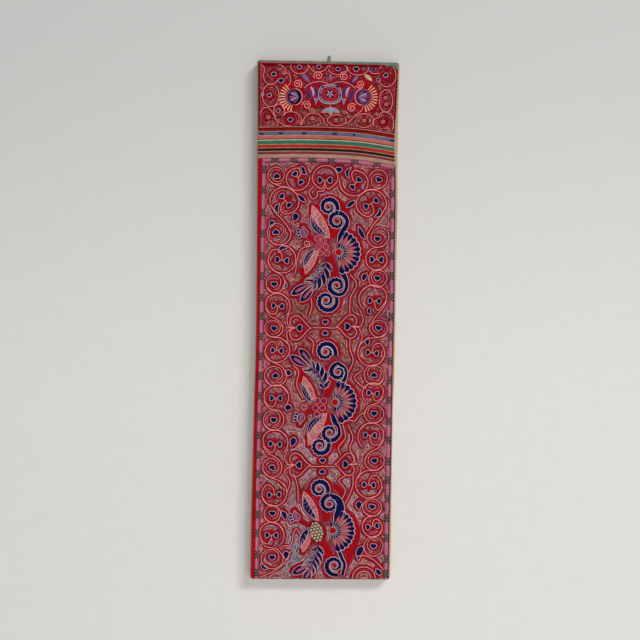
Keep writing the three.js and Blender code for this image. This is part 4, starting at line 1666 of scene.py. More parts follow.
# Lines of the scrolls
UPPER_LINES = (
    ((-82.4, 5.4), (-77.8, 11.0), (-78.6, 20.0), (-76.2, 27.0), (-71.0, 29.6), (-64.6, 28.0), (-61.6, 24.0)),
    ((-61.6, 5.0), (-54.6, 8.6), (-52.0, 12.8), (-55.0, 17.0)),
    ((-56.0, 17.6), (-50.4, 15.8), (-46.4, 20.2), (-46.8, 28.2), (-50.2, 31.8)),
    ((-46.2, 4.6), (-45.4, 10.4), (-39.4, 15.8), (-30.0, 15.2), (-25.0, 9.8), (-26.4, 4.8)),
    ((-25.0, 6.0), (-19.6, 12.8), (-13.4, 14.2), (-6.4, 12.2), (-1.6, 7.0), (4.4, 3.4), (13.0, 3.2)),
    ((21.4, 4.0), (22.6, 10.6), (28.6, 16.2), (40.0, 16.2), (46.8, 10.8), (45.8, 4.4)),
    ((47.4, 11.0), (52.6, 15.0), (59.8, 14.4)),
    ((-82.4, 65.8), (-79.0, 59.0), (-73.2, 57.6), (-66.8, 64.0), (-63.8, 71.0), (-60.4, 76.6), (-62.0, 79.6)),
    ((-61.6, 70.8), (-58.2, 75.4), (-53.0, 78.4), (-46.0, 79.4)),
    ((-53.8, 66.4), (-50.0, 62.8), (-42.0, 62.4), (-34.2, 67.0), (-32.2, 74.0), (-34.6, 78.0)),
    (
        (-32.6, 78.2),
        (-29.0, 69.6),
        (-24.6, 65.2),
        (-19.6, 63.4),
        (-12.8, 64.4),
        (-7.4, 69.0),
        (-4.4, 75.0),
        (-0.6, 78.4),
    ),
    ((20.4, 76.4), (26.8, 71.2), (33.6, 64.2), (39.6, 59.4), (41.0, 54.4)),
    (
        (54.6, 78.6),
        (54.0, 70.6),
        (60.4, 67.2),
        (62.4, 62.2),
        (68.8, 61.0),
        (76.0, 65.4),
        (78.0, 75.0),
        (77.0, 82.0),
    ),
    ((-60.0, 47.0), (-56.6, 54.0), (-53.4, 60.0), (-53.6, 66.0)),
)
# Ovals: the middle, the half sizes, and where each starts and how far it goes
UPPER_OVALS = (
    (10.4, 10.4, 11.2, 6.4, -160, 340),
    (69.2, 17.0, 10.8, 13.6, 215, 300),
    (-69.8, 42.8, 10.0, 13.4, -60, 345),
    (68.6, 47.6, 8.0, 13.4, 100, 350),
    (-59.4, 61.2, 6.4, 8.2, 120, 300),
    (9.8, 71.6, 11.2, 6.6, -30, 330),
    (42.8, 71.6, 11.2, 8.2, -150, 330),
)
# Hearts: the middle, the half width, where the point looks, and the ring's half width
UPPER_HEARTS = (
    (-66.4, 17.0, 2.4, -90, 1.5),
    (-57.6, 25.2, 2.8, 85, 1.3),
    (-35.7, 8.2, 2.2, -90, 1.5),
    (-12.4, 8.0, 2.2, 90, 1.2),
    (10.6, 10.0, 2.2, -90, 1.5),
    (32.4, 10.0, 2.8, 90, 1.6),
    (68.0, 16.8, 2.4, 50, 1.8),
    (59.2, 22.8, 2.1, 90, 1.0),
    (-71.2, 42.8, 2.2, 70, 1.6),
    (-60.4, 61.2, 2.0, 60, 1.1),
    (-45.8, 71.8, 2.5, 90, 1.6),
)
PALE_HEARTS = (
    (-72.2, 69.0, 2.2, 90, 1.4),
    (-19.2, 69.6, 2.2, -90, 1.3),
    (9.2, 71.6, 2.1, 90, 1.4),
    (42.8, 71.4, 2.2, 90, 1.5),
    (65.4, 72.6, 2.2, 60, 1.6),
    (58.0, 63.6, 1.6, 90, 0.9),
    (68.0, 44.0, 1.9, 90, 1.2),
    (69.0, 51.4, 1.9, -90, 1.2),
)
for points in UPPER_LINES:
    vine(upper, through(points), half=1.75, cord=0.46)
for across, down, half_across, half_down, start, length in UPPER_OVALS:
    vine(upper, arc((across, down), half_across, half_down, start, length), half=1.75, cord=0.46)
for across, down, size, tip, ring in UPPER_HEARTS:
    navy_heart(upper, (across, down), size, tip, ring=ring * 0.75)
for across, down, size, tip, ring in PALE_HEARTS:
    navy_heart(upper, (across, down), size * 0.7, tip, ring=ring * 0.75, navy=OLIVE, pale=CREAM)
for across, down, half, start, length in (
    (-68.6, 16.0, 8.4, -150, 290),
    (68.6, 17.6, 8.6, -90, 240),
    (-70.6, 42.6, 6.0, 20, 260),
    (32.4, 9.6, 7.0, 20, 150),
    (-45.8, 71.4, 6.4, 120, 300),
    (-72.6, 68.6, 6.0, 100, 260),
    (65.4, 72.4, 6.2, -60, 280),
):
    red_band(upper, arc((across, down), half, half, start, length), 0.8, CRIMSON)
for across, lean in ((48.8, 30), (53.0, -30), (48.8, -30), (53.0, 30)):
    straight_leaf(upper, "navy", (across, 10.2), 5.6, lean, 1.3, NAVY, outline=DULL_LILAC)
straight_leaf(upper, "navy", (-79.4, 42.0), 3.6, 90, 1.2, NAVY, outline=PALE)
straight_leaf(upper, "fill", (-28.2, 21.0), 14, 48, 2.6, DULL_LILAC, outline=DULL_BLUE, red=BRIGHT_RED)
straight_leaf(upper, "fill", (31.6, 21.4), 13, -48, 2.4, DULL_LILAC, outline=PURPLE, red=BRIGHT_RED)
straight_leaf(upper, "fill", (47.2, 20.0), 13, 38, 2.6, SAND, outline=MAUVE, red=BRIGHT_RED)
straight_leaf(upper, "fill", (-19.8, 60.0), 8, 20, 1.5, OLIVE, outline=SALMON)

# Pink curls on round red grounds
PINK_CURLS = (
    (-37.8, 28.8, 5.6, 60, -1.7),
    (-12.9, 18.6, 5.6, 150, 1.7),
    (18.0, 18.8, 5.6, -60, -1.7),
    (37.3, 27.8, 5.2, 160, -1.6),
    (-26.3, 54.0, 5.4, 180, 1.6),
    (27.8, 56.4, 5.6, -40, -1.7),
)
for across, down, radius, start, turns in PINK_CURLS:
    red_ground(upper, disc((across, down), radius + 1.2, 26))
    pink_cord(upper, turn_path((across, down), radius, 0.9, start, turns, 0.8), 0.58)

# The two fans of pale rays, each with a purple or navy middle and small petals
FAN_REACH = 63
FAN_TILT = 11.6
FAN_PETALS = 9
FAN_RAYS = 11
FAN_TONES = (DUSTY_PINK, PURPLE, LILAC, DULL_LILAC)
for across, down, face, tilt, core in (
    (-41.0, 44.2, 180, -FAN_TILT, NAVY),
    (40.4, 43.4, 0, FAN_TILT, PURPLE),
):
    middle = np.array((across, down))
    ahead = unit(face)
    root = middle - ahead * 5.0
    red_ground(upper, oval(middle + ahead * 4.4, 16.6, 19.6, 34))
    upper.patch("fill", oval(middle, 8.6, 9.0, 26), 0.5, 0.2, core)
    for number in range(FAN_PETALS):
        tip = middle + unit(face + (number - FAN_PETALS // 2) * 21) * 7.4
        petal(upper, [root, (root + tip) / 2, tip], 1.15, FAN_TONES[number % 4], 0.62, 0.7, 0.7)
    pale_line(upper, arc(middle, 9.2, 9.6, face - 100, 200, 0.9), tint=DULL_BLUE, half=0.5)
    pink_cord(upper, arc(middle, 9.0, 9.8, face + 96, 168, 0.9), 0.6)
    for number in range(FAN_RAYS):
        along = unit(face + tilt + FAN_REACH * (number - 5) / 5)
        ray = through([middle + along * reach for reach in (10.8, 14.2, 18.2)], 0.8)
        pale_line(upper, ray, tint=PEACH, half=np.linspace(0.6, 0.95, len(ray)))


def small_bud(centre, foot, reach, half, lift, petals):
    """Petals that spread from the foot of a bud, each with the way it points and its tone."""
    for turn, tone in petals:
        places = [centre + (0, foot), centre + unit(turn) * 1.6, centre + unit(turn) * reach]
        petal(upper, places, half, tone, lift=lift, step=0.7)


# Stems curving from the fans over the middle, with purple leaves below them and a bud on each side
FLOWER = np.array((1.3, 40.2))
STEM_PLACES = ((31.0, -6.8), (24.0, -12.0), (14.4, -14.8), (6.0, -13.6), (0.6, -11.4))
# Their leaves: how far aside and down from the flower, the length, and the tones of the leaf and its rim
STEM_LEAVES = (
    (27.0, 1.4, 15.0, PURPLE, DULL_LILAC),
    (22.0, -2.6, 15.0, LILAC, MAGENTA),
    (17.4, -1.0, 13.0, PURPLE, DULL_LILAC),
)
SIDE_BUD = ((-150, PURPLE), (-120, LILAC), (-90, DULL_LILAC), (-60, LILAC), (-30, PURPLE))
for sign in (-1, 1):
    stem = through([FLOWER + (sign * aside, fall) for aside, fall in STEM_PLACES])
    upper.ridge("red", stem + (0, 3.4), 3.6, 0.45, -0.1, BRIGHT_RED, BAND)
    vine(upper, stem, half=1.7)
    upper.ridge("fill", stem + (0, 2.5), leaf_widths(len(stem), 1.6), 0.8, 0.2, MAGENTA, BAND)
    for aside, fall, length, tone, rim in STEM_LEAVES:
        place = FLOWER + (sign * aside, fall)
        looks = {"outline": rim, "red": BRIGHT_RED}
        straight_leaf(upper, "fill", place, length, 90 + sign * 16, 1.8, tone, sign * 1.8, **looks)
    bud = FLOWER + (sign * 16.6, 9.4)
    red_ground(upper, disc(bud, 7.6, 24))
    small_bud(bud, 4.0, 5.6, 1.2, 0.5, SIDE_BUD)

# The flower in the middle, inside a lobed ring
turns = np.linspace(0, 2 * math.pi, 80, endpoint=False)
round_ring = np.stack([np.cos(turns), np.sin(turns)], 1)
lobes = 1 - 0.045 * np.cos(4 * turns) + 0.035 * np.sin(turns) + 0.02 * np.cos(2 * turns)
lobed = round_ring * lobes[:, None]
red_ground(upper, FLOWER + lobed * (16.0, 13.8), 0.4)
for size, half, tint in ((1.0, 0.5, CREAM), (0.9, 0.95, DULL_BLUE), (0.8, 0.42, LILAC)):
    pale_line(upper, FLOWER + lobed * (14.0 * size, 11.9 * size), closed=True, tint=tint, half=half)
for across, down, lean in ((-8.6, -8.4, -28), (9.2, -8.6, 28), (-11.6, 1.2, 80), (12.2, 1.0, -80)):
    straight_leaf(upper, "navy", FLOWER + (across, down), 6.0, lean, 1.2, NAVY, rise=0.9, lift=0.5)
inner_lobes = round_ring * (1 + 0.1 * np.cos(5 * turns + math.pi / 2))[:, None]
pale_line(upper, FLOWER + inner_lobes * (7.6, 6.4), closed=True, tint=ROSE, half=0.45)
for number in range(10):
    along = unit(-90 + 36 * number)
    size, half, tone = ((5.6, 1.3, PURPLE), (4.4, 0.7, PALE))[number % 2]
    places = [FLOWER + along * 0.4, FLOWER + along * size * 0.5, FLOWER + along * size]
    petal(upper, places, half, tone, 0.6, 0.9, 0.7, step=0.7)

# The bud above it and the leaf cup below it
bud = np.array((1.7, 21.4))
upper.patch("red", oval(bud, 6.6, 5.4, 24), 0.4, -0.1, BRIGHT_RED)
small_bud(bud, 3.4, 5.4, 1.3, 0.3, ((-165, MAUVE), (-128, PURPLE), (-90, LILAC), (-52, PURPLE), (-15, MAUVE)))
cup = np.array((2.4, 57.8))
for turn, length in ((22, 12.0), (90, 8.0), (158, 12.0)):
    place = cup + unit(turn) * length * 0.46
    straight_leaf(upper, "fill", place, length, turn, 2.2, GREY_BLUE, outline=CREAM, red=CRIMSON)
vine(upper, through([(1.6, 53.2), (2.2, 55.6), (2.4, 58.0)]), half=1.0)

# The salmon cord and the dark red edge round the upper panel
ROUND_DOWN = np.linspace(6.0, 86.0, 66)
ROUND_ACROSS = np.linspace(-84.0, 78.6, 120)
for side_curve, sign in ((sewn_left, 1), (sewn_right, -1)):
    edge = np.stack([side_curve(ROUND_DOWN) + sign * 1.9, ROUND_DOWN], 1)
    red_band(upper, edge, 1.2, DEEP_RED)
    pink_cord(upper, edge + (sign * 1.2, 0), 0.42, ROSE, -0.2)
foot = np.stack([ROUND_ACROSS, seam(ROUND_ACROSS) - 1.2], 1)
pink_cord(upper, foot, 0.42, SALMON, -0.2)
HEAD_ACROSS = ROUND_ACROSS[:112]
head_line = np.stack([HEAD_ACROSS, heading_seam(HEAD_ACROSS) + 1.3], 1)
red_band(upper, head_line, 0.8, DEEP_RED)
sweep(upper.shapes["red"], head_line - (0, 1.7), 0.7, RED_RISE, 0.75, CRIMSON, BAND)

# The pieces of each panel, by their shapes' kinds: the name, the material and the colour slot
PIECE_KINDS = {
    "red": ("red_bands", CHAIN, "red_silk"),
    "dark": ("dark_lines", CHAIN, "red_silk"),
    "cord": ("pink_cords", SILK, "coral_silk"),
    "navy": ("navy_satin", SATIN, "blue_silk"),
    "pale": ("pale_outlines", SILK, "cream_silk"),
    "fill": ("coloured_satin", SATIN, "mauve_silk"),
}


def embroidered(panel, name, slot, colour_at):
    """Builds one panel's raised pieces and gives their objects."""
    threads = echo_threads(panel, colour_at)
    pieces = [threads.build(name + "_ground_threads", GROUND, slot)]
    for kind, (label, material, kind_slot) in PIECE_KINDS.items():
        pieces.append(panel.shapes[kind].build(name + "_" + label, material, kind_slot))
    return pieces


lower_pieces = embroidered(lower, "lower", "lower_embroidery", lower_thread)
upper_pieces = embroidered(upper, "upper", "upper_embroidery", upper_thread)

# The sheets that carry them, and the plain sewn ones
sewn_sheet(
    "lower_panel",
    "lower_embroidery",
    (left_tape_seam, right_tape_seam, top_tape_seam, sewn_bottom),
    GROUND,
    front=GROUND_FRONT,
    edge=0.3,
    tint=mottled((WINE, MAUVE, ROSE), (1.6, 1.0, 1.0)),
)
sewn_sheet(
    "upper_panel",
    "upper_embroidery",
    (sewn_left, sewn_right, heading_seam, seam),
    GROUND,
    front=GROUND_FRONT,
    edge=0.3,
    tint=mottled((WINE, DEEP_RED, MAGENTA), (1.4, 1.2, 0.8)),
)


def strip_tint(base, variation):
    """A ribbon's colour, faded here and there along its length, and darker towards its two long edges as
    painted shade where it rounds down into the seams.
    """

    def tint(s, t, across, down):
        wave = np.sin(across * 0.13 + variation) * 0.5 + np.sin(across * 0.37 + variation * 2.1) * 0.3
        # Painted shade: up to about a sixth darker in the outer fifth of the ribbon's width on each side.
        edge = 1 - 0.25 * np.clip(np.abs(2 * t - 1) * 1.6 - 0.9, 0, 1)
        shade = (1 + 0.12 * wave) * edge * (1 + 0.1 * RNG.uniform(-1, 1, across.shape))
        return np.array(base) * shade[..., None]

    return tint


STRIP_LOOKS = {
    "strip_red": ("red_silk", linear(140, 18, 18)),
    "strip_blue": ("blue_silk", linear(104, 108, 138)),
    "strip_coral": ("coral_silk", linear(196, 112, 94)),
    "strip_green": ("green_silk", linear(58, 120, 96)),
    "strip_orange": ("orange_silk", linear(190, 50, 34)),
    "strip_black": ("black_silk", linear(44, 28, 16)),
    "strip_mauve": ("mauve_silk", linear(140, 66, 74)),
    "strip_cream": ("cream_silk", linear(182, 152, 130)),
}
strip_top = seam
strip_seams = [seam]
for number, (name, width) in enumerate(STRIP_WIDTHS.items()):
    slot, base = STRIP_LOOKS[name]
    strip_bottom = shifted(strip_top, width)
    sewn_sheet(
        name,
        slot,
        (sewn_left, sewn_right, strip_top, strip_bottom),
        RIBBON,
        step=(1.4, 0.7),
        crown=0.25,
        edge=0.7,
        ripple=0.05,
        tint=strip_tint(base, 1.3 * number),
    )
    strip_top = strip_bottom
    strip_seams.append(strip_bottom)

# Seam cords between the strips, and the stitches and dashes on them
strip_cords = Shape()
strip_marks = Shape()
cord_across = np.arange(-84.6, 80.6, 1.2)
SEAM_TONES = (WINE, BEIGE, SALMON, CREAM, BEIGE, BEIGE, BEIGE, SALMON, ROSE)
SEAM_HALVES = (0.4, 0.5, 0.45, 0.75, 0.55, 0.5, 0.55, 0.45, 0.4)


def line_below(curve, fall=0.0, margin=0.3):
    """A line some mm below a seam between two strips, which ends a margin before the right side."""
    path = np.stack([cord_across, curve(cord_across) + fall], 1)
    return path[cord_across < sewn_right(path[:, 1]) - margin]


for curve, tone, half in zip(strip_seams, SEAM_TONES, SEAM_HALVES):
    path = line_below(curve)
    shade = np.array(tone) * (1 + 0.12 * np.sin(path[:, 0] * 0.4 + half * 40))[:, None]
    sweep(strip_cords, path, half, 0.55, 0.05, shade)

# Dashes on the blue strip: how far across and how long
BLUE_DASHES = ((-80, 5), (-57, 6), (-29, 5), (8, 6), (31, 3), (77, 5))
DASH_BLUE = linear(36, 44, 96)
for across, length in BLUE_DASHES:
    middle = float(strip_seams[1](across)) + 2.5
    ends = (across - length / 2, middle - 0.2), (across + length / 2, middle + 0.3)
    sweep(strip_marks, through([ends[0], (across, middle), ends[1]], 0.8), 1.5, 0.45, 0.45, DASH_BLUE, BAND)
sweep(strip_marks, line_below(strip_seams[2], 4.2, 0.5), 0.5, 0.35, 0.55, WINE)
sweep(strip_marks, line_below(strip_seams[6], 2.6, 0.5), 0.45, 0.3, 0.5, linear(96, 34, 48))
for across in np.arange(-82.0, 80.0, 5.6):
    for seam_number, tone in ((3, linear(34, 84, 66)), (4, linear(150, 30, 26))):
        middle = float(strip_seams[seam_number](across)) + 2.4
        lean = 1.0 + 0.3 * math.sin(across)
        mark = through([(across - lean, middle - 1.5), (across, middle), (across + lean, middle + 1.5)], 0.8)
        sweep(strip_marks, mark, 0.4, 0.3, 0.5, tone)
strip_cord_piece = strip_cords.build("strip_seam_cords", SILK, "cream_silk")
strip_mark_piece = strip_marks.build("strip_dashes_and_stitches", SATIN, "blue_silk")


HEADING_GREY = linear(138, 126, 114)
HEADING_GREEN = linear(114, 140, 122)


def heading_tint(s, t, across, down):
    """Grey on the left that turns to green on the right."""
    share = 1 / (1 + np.exp(-(across - 12) / 22))[..., None]
    mixed = np.array(HEADING_GREY) * (1 - share) + np.array(HEADING_GREEN) * share
    return mixed * (1 + 0.12 * np.sin(across * 0.31)[..., None])


sewn_sheet(
    "heading_strip",
    "green_silk",
    (sewn_left, sewn_right, sewn_top, heading_seam),
    RIBBON,
    step=(1.4, 0.8),
    crown=0.2,
    edge=0.7,
    tint=heading_tint,
)


def band_tint(base, variation):
    """A band's colour, faded here and there along its length."""

    def tint(s, t, across, down):
        wave = np.sin(down * 0.045 + variation) * 0.5 + np.sin(down * 0.16 + variation) * 0.3
        shade = (1 + 0.14 * wave) * (1 + 0.1 * RNG.uniform(-1, 1, across.shape))
        return np.array(base) * shade[..., None]

    return tint


sewn_sheet(
    "binding_left",
    "red_silk",
    (sewn_left, band_seam, strips_bottom, sewn_bottom),
    RIBBON,
    step=(0.8, 2.0),
    crown=0.35,
    edge=0.8,
    ripple=0.06,
    tint=band_tint(linear(176, 6, 28), 0.4),
)
sewn_sheet(
    "binding_right",
    "red_silk",
    (thin_band_seam, sewn_right, strips_bottom, sewn_bottom),
    RIBBON,
    step=(0.5, 2.0),
    crown=0.1,
    edge=0.5,
    tint=band_tint(linear(124, 24, 34), 2.0),
)

# The tapes' stripes, from the outer edge in
TAPE_STRIPES = np.array(
    [
        linear(186, 36, 84),
        linear(206, 130, 160),
        linear(184, 118, 144),
        linear(168, 104, 132),
        linear(206, 60, 94),
    ]
)


def tape_tint(outer_first):
    """Stripes along a woven tape. outer_first says whether its outer edge is its left or top one."""

    def tint(s, t, across, down):
        part = t if np.ptp(down[:, 0]) < 20 else s
        part = part if outer_first else 1 - part
        place = np.clip(part * 4, 0, 3.999)
        first = place.astype(int)
        share = (place - first)[..., None]
        blend = TAPE_STRIPES[first] * (1 - share) + TAPE_STRIPES[first + 1] * share
        return blend * (1 + 0.1 * RNG.uniform(-1, 1, across.shape))[..., None]

    return tint


# The tapes: name, sides, step and whether the outer edge comes first
for name, sides, step, outer_first in (
    ("border_left", (band_seam, left_tape_seam, top_tape_seam, sewn_bottom), (0.8, 2.0), True),
    ("border_right", (right_tape_seam, thin_band_seam, top_tape_seam, sewn_bottom), (0.8, 2.0), False),
    ("border_top", (band_seam, thin_band_seam, strips_bottom, top_tape_seam), (2.0, 0.8), True),
):
    sewn_sheet(name, "mauve_silk", sides, RIBBON, step=step, edge=0.45, tint=tape_tint(outer_first))

# Checked marks on the tapes, charted as dark and pale stitches: how far down or across each one is
LEFT_CHECKS = (
    (132, 156.4, 183.4, 208.7, 235.5, 259.6, 285.8)
    + (307.8, 332.3, 356.1, 379.6, 403.4, 428.5, 451.2)
    + (474.4, 497.3, 522.4, 546.1, 568.2, 593.9, 617)
)
RIGHT_CHECKS = (
    (133.9, 158.9, 183.8, 208.9, 233.5, 257.4, 283)
    + (306.7, 330.7, 359.5, 382.6, 406.5, 431.6, 454.7)
    + (480.2, 502.6, 524.8, 548, 571.9, 597, 616)
)
TOP_CHECKS = (-63.5, -40.6, -18.5, 4.2, 32.1, 58.9)
CHECK_LONG, CHECK_WIDE = 5, 3
CHECK_STEP_LONG, CHECK_STEP_WIDE = 1.8, 1.5
CHECK_HALF = 0.74
CHECK_REACH = 0.86
PALE_CHECK = linear(150, 124, 124)
dark_checks = Shape()
pale_checks = Shape()


def check(across, down, along=(0, 1)):
    """One checked mark that lies along a line, a stitch to each cell."""
    along = np.array(along)
    aside = along[::-1]
    for row in range(CHECK_LONG):
        for column in range(CHECK_WIDE):
            place = np.array((across, down)) + along * (row - (CHECK_LONG - 1) / 2) * CHECK_STEP_LONG
            place = place + aside * (column - (CHECK_WIDE - 1) / 2) * CHECK_STEP_WIDE
            stitch = np.array([place - along * CHECK_REACH, place, place + along * CHECK_REACH])
            shape, tone = ((dark_checks, BLACK), (pale_checks, PALE_CHECK))[(row + column) % 2]
            sweep(shape, stitch, CHECK_HALF, 0.45, 0.55, tone, CORD)


for down in LEFT_CHECKS:
    check(float(band_seam(down)) + 2.4, min(down, 615.6))
for down in RIGHT_CHECKS:
    check(float(thin_band_seam(down)) - 2.4, min(down, 614.6))
for across in TOP_CHECKS:
    check(across, float(strips_bottom(across)) + 2.6, along=(1, 0))
dark_piece = dark_checks.build("tape_checks_dark", SATIN, "black_silk")
pale_piece = pale_checks.build("tape_checks_pale", SATIN, "cream_silk")


def tray_ring(margin, wobble=0.0):
    """The hanging's outline moved in by a margin, with the same count of points each time."""
    radius = max(CORNER_RADIUS - margin, 1.0)
    left, right = shifted(left_edge, margin), shifted(right_edge, -margin)
    top, bottom = shifted(top_edge, margin), shifted(bottom_edge, -margin)

    def meeting(side, level):
        """Where a side and a level curve meet."""
        across = float(side(float(level(0.0))))
        return np.array((across, float(level(across))))

    top_left, top_right = meeting(left, top), meeting(right, top)
    foot_left, foot_right = meeting(left, bottom), meeting(right, bottom)
    across = np.linspace(top_left[0] + radius, top_right[0] - radius, 60)
    right_down = np.linspace(top_right[1] + radius, foot_right[1] - radius, 200)
    foot = np.linspace(foot_right[0] - radius, foot_left[0] + radius, 60)
    left_down = np.linspace(foot_left[1] - radius, top_left[1] + radius, 200)
    runs = [
        np.stack([across, top(across)], 1),
        np.stack([right(right_down), right_down], 1),
        np.stack([foot, bottom(foot)], 1),
        np.stack([left(left_down), left_down], 1),
    ]
    points = []
    for number, (run, peak) in enumerate(zip(runs, (top_right, foot_right, foot_left, top_left))):
        after = runs[(number + 1) % 4][0]
        part = np.linspace(0, 1, 9)[1:-1, None]
        bend = run[-1] * (1 - part) ** 2 + 2 * peak * part * (1 - part) + after * part**2
        points += [run, bend]
    ring = np.concatenate(points)
    if wobble:
        side = sideways(ring, closed=True)
        run = lengths(ring)
        ring = ring + side * (wobble * (np.sin(run * 0.09) + 0.5 * np.sin(run * 0.31 + 1)))[:, None]
    return ring


# The tray's section, from the middle of its face over the edge and round to the back: margin in, place out,
# wobble
TRAY_SECTION = (
    (8.0, -18.4, 0),
    (3.0, -18.4, 0),
    (1.3, -18.3, 0),
    (0.6, -18.05, 0.02),
    (0.18, -17.5, 0.04),
    (0.02, -16.6, 0.06),
    (0.0, -14.0, 0.1),
    (0.0, -10.0, 0.12),
    (0.0, -6.0, 0.1),
    (0.02, -3.6, 0.06),
    (0.18, -2.7, 0.04),
    (0.6, -2.1, 0.02),
    (1.3, -1.85, 0),
    (5.0, -1.8, 0),
    (10.0, -1.8, 0.2),
    (14.6, -1.85, 0.8),
    (15.0, -2.2, 0.8),
    (14.8, -2.75, 0.8),
    (10.0, -2.8, 0.2),
    (5.0, -2.8, 0),
    (1.6, -2.8, 0),
    (1.1, -3.3, 0),
    (1.0, -6.0, 0),
    (1.0, -14.0, 0),
    (1.1, -16.9, 0),
    (1.6, -17.4, 0),
    (8.0, -17.4, 0),
)
tray = Shape()
rings = np.stack([tray_ring(margin, wobble) for margin, _, wobble in TRAY_SECTION])
rows, ring_count = rings.shape[:2]
tray_across, tray_down = rings[..., 0], rings[..., 1]
section_outs = np.array([out for _, out, _ in TRAY_SECTION])
ripple = np.abs(0.07 * np.sin(tray_across * 0.33) * np.sin(tray_down * 0.21))
is_face = np.abs(section_outs[:, None] - (COTTON_FRONT, COTTON_BACK)).min(1) < 1e-6
ripple_way = is_face * np.where(section_outs < -10, 1, -1)
tray_out = section_outs[:, None] - ripple_way[:, None] * ripple
coords = np.stack(np.broadcast_arrays(lengths(rings[0]), np.arange(rows)[:, None] * 2.0), -1)
front_cap = np.arange(ring_count)[None, ::-1]
back_cap = (rows - 1) * ring_count + np.arange(ring_count)[None, :]
tray_faces = [grid_faces(rows, ring_count, wrap=True), front_cap, back_cap]
tray.add(tray_across, tray_down, tray_out, coords, (1, 1, 1), tray_faces)
tray_piece = tray.build("backing_cloth_tray", COTTON, "cotton")
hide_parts("backing_cloth")

# Running stitches that hold the cotton's turned edge on the back, and the hem stitches round the textile
back_stitches = Shape()
BACK_STITCH_HALF = 0.4
BACK_STITCH_REACH = 1.8
stitch_ring = evened_ring(tray_ring(11.5), 7.0)
section_count = len(CORD)
corners = np.arange(section_count)[None, :]
stitch_caps = [corners, 2 * section_count + corners[:, ::-1]]
stitch_faces = [grid_faces(3, section_count, wrap=True)[:, ::-1], *stitch_caps]
stitch_out = COTTON_BACK + 0.05 + np.array([0.1, 0.5, 0.1])[:, None] * CORD[None, :, 1]
for place, along in zip(stitch_ring, directions(stitch_ring, closed=True)):
    stitch = np.stack([place - along * BACK_STITCH_REACH, place, place + along * BACK_STITCH_REACH])
    stitch_across = stitch[:, :1] - along[1] * BACK_STITCH_HALF * CORD[None, :, 0]
    stitch_down = stitch[:, 1:] + along[0] * BACK_STITCH_HALF * CORD[None, :, 0]
    stitch_coords = np.zeros(stitch_across.shape + (2,))
    back_stitches.add(stitch_across, stitch_down, stitch_out, stitch_coords, CREAM, stitch_faces)
back_stitch_piece = back_stitches.build("back_hem_stitches", SILK, "cotton")

hem_stitches = Shape()
HEM_LIFT = 0.15
for side_curve, sign in ((sewn_left, -1), (sewn_right, 1)):
    for down in np.arange(8.0, 618.0, 4.2):
        edge = float(side_curve(down))
        path = np.array([(edge - sign * 0.9, down - 0.5), (edge, down), (edge + sign * 0.5, down + 0.4)])
        sweep(hem_stitches, path, 0.24, 0.3, HEM_LIFT, CREAM if sign > 0 else SALMON)
hem_piece = hem_stitches.build("textile_hem_stitches", SILK, "cotton")


# The bars and the hook keep their CAD shapes
BARS = ["stretcher_top", "stretcher_left", "stretcher_right", "stretcher_bottom"]
for name in [*BARS, "wall_hook"]:
    data = NODES[name].data
    data.materials.clear()
    data.materials.append(PINE if name in BARS else STEEL)

# The ribbons, tapes and bands, under 10 mm wide, are sewn on the two panels: they join each panel's list of
# pieces
UPPER_TRIM = ["heading_strip", *STRIP_WIDTHS]
LOWER_TRIM = ["binding_left", "binding_right", "border_top", "border_left", "border_right"]
lower_pieces += [SHEETS[name][0] for name in LOWER_TRIM] + [dark_piece, pale_piece, hem_piece]
upper_pieces += [SHEETS[name][0] for name in UPPER_TRIM] + [strip_cord_piece, strip_mark_piece]
for name, pieces in (("lower_panel", lower_pieces), ("upper_panel", upper_pieces)):
    cloth, flat = SHEETS[name]
    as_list(pieces)


# The wall, the floor, the light and the camera
def stage_plane(name, points, material):
    """A flat part of the room, which casts no shadow."""
    mesh = bpy.data.meshes.new(name)
    mesh.from_pydata(points, [], [tuple(range(len(points)))])
    mesh.materials.append(material)
    plane = bpy.data.objects.new(name, mesh)
    bpy.context.scene.collection.objects.link(plane)
    plane.visible_shadow = False


# Sizes of the room in metres
WALL_Y = 0.0006
WALL_HALF = 1.6
WALL_TOP = 1.1
FLOOR_Z = -0.86
FLOOR_HALF = 2.4
FLOOR_NEAR, FLOOR_FAR = -2.6, 2.4
wall_corners = ((-WALL_HALF, FLOOR_Z), (WALL_HALF, FLOOR_Z), (WALL_HALF, WALL_TOP), (-WALL_HALF, WALL_TOP))
stage_plane("plain_wall", [(x, WALL_Y, z) for x, z in wall_corners], wall_material())
floor_corners = (
    (-FLOOR_HALF, FLOOR_NEAR),
    (FLOOR_HALF, FLOOR_NEAR),
    (FLOOR_HALF, FLOOR_FAR),
    (-FLOOR_HALF, FLOOR_FAR),
)
floor_material = plaster_recipe("pale_floor")[0].material
stage_plane("plain_floor", [(x, y, FLOOR_Z) for x, y in floor_corners], floor_material)


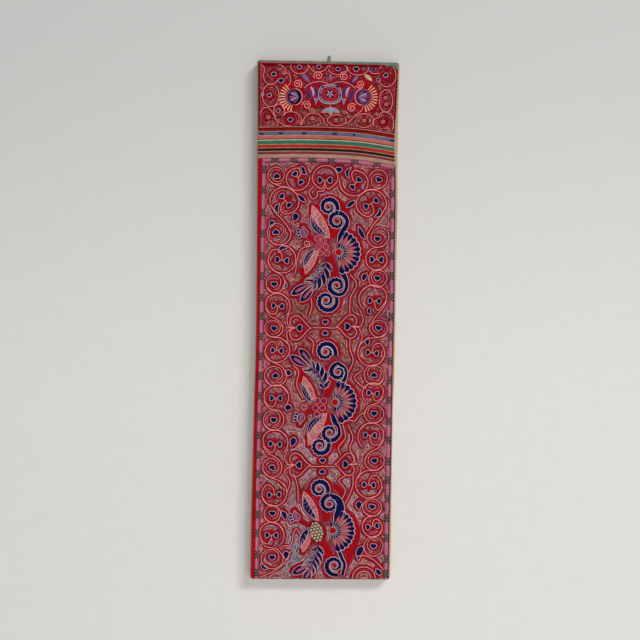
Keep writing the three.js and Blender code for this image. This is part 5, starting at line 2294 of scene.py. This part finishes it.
def area_light(name, place, target, sizes, power, colour):
    """A rectangular light that shines from a place to a target, its sizes in metres and its power in
    watts."""
    data = bpy.data.lights.new(name, "AREA")
    data.shape = "RECTANGLE"
    data.size, data.size_y = sizes
    data.energy = power
    data.color = colour
    light = bpy.data.objects.new(name, data)
    bpy.context.scene.collection.objects.link(light)
    light.location = place
    direction = np.array(target) - np.array(place)
    across = math.hypot(direction[0], direction[1])
    turn = math.atan2(direction[1], direction[0]) - math.pi / 2
    light.rotation_euler = (math.atan2(across, -direction[2]), 0, turn)


PANEL_MIDDLE = (0.0, -0.01, -0.31)
PANEL_LOW = (0.0, -0.01, -0.5)
area_light("window_light", (2.6, -4.0, 2.6), PANEL_MIDDLE, (2.4, 1.1), 151.0, (1.0, 0.985, 0.97))
area_light("front_fill", (0.2, -2.0, -0.45), PANEL_LOW, (1.0, 0.6), 8.2, (1.0, 0.99, 0.98))
area_light("back_fill", (0.4, 2.2, 0.3), PANEL_MIDDLE, (1.6, 1.6), 32.0, (1.0, 1.0, 1.0))

ROOM_COLOUR = (0.86, 0.87, 0.88, 1)
ROOM_STRENGTH = 0.25
world = bpy.data.worlds.new("soft_room")
world.use_nodes = True
background = world.node_tree.nodes["Background"]
background.inputs["Color"].default_value = ROOM_COLOUR
background.inputs["Strength"].default_value = ROOM_STRENGTH
bpy.context.scene.world = world
bpy.context.scene.view_settings.view_transform = "Standard"
bpy.context.scene.view_settings.look = "None"

# The photograph's framing: straight on, with the hanging turned a little clockwise in the frame
VIEW_AIM = (-0.0068, -0.3115)
VIEW_DISTANCE = 1.813
VIEW_ROLL = 0.0141
FOCAL_LENGTH = 85
SENSOR = 36
camera_data = bpy.data.cameras.new("front_view")
camera_data.lens = FOCAL_LENGTH
camera_data.sensor_width = SENSOR
camera = bpy.data.objects.new("front_view", camera_data)
camera.location = (VIEW_AIM[0], TEXTILE_FRONT * MM - VIEW_DISTANCE, VIEW_AIM[1])
camera.rotation_euler = (math.pi / 2, -VIEW_ROLL, 0)
bpy.context.scene.collection.objects.link(camera)
bpy.context.scene.camera = camera
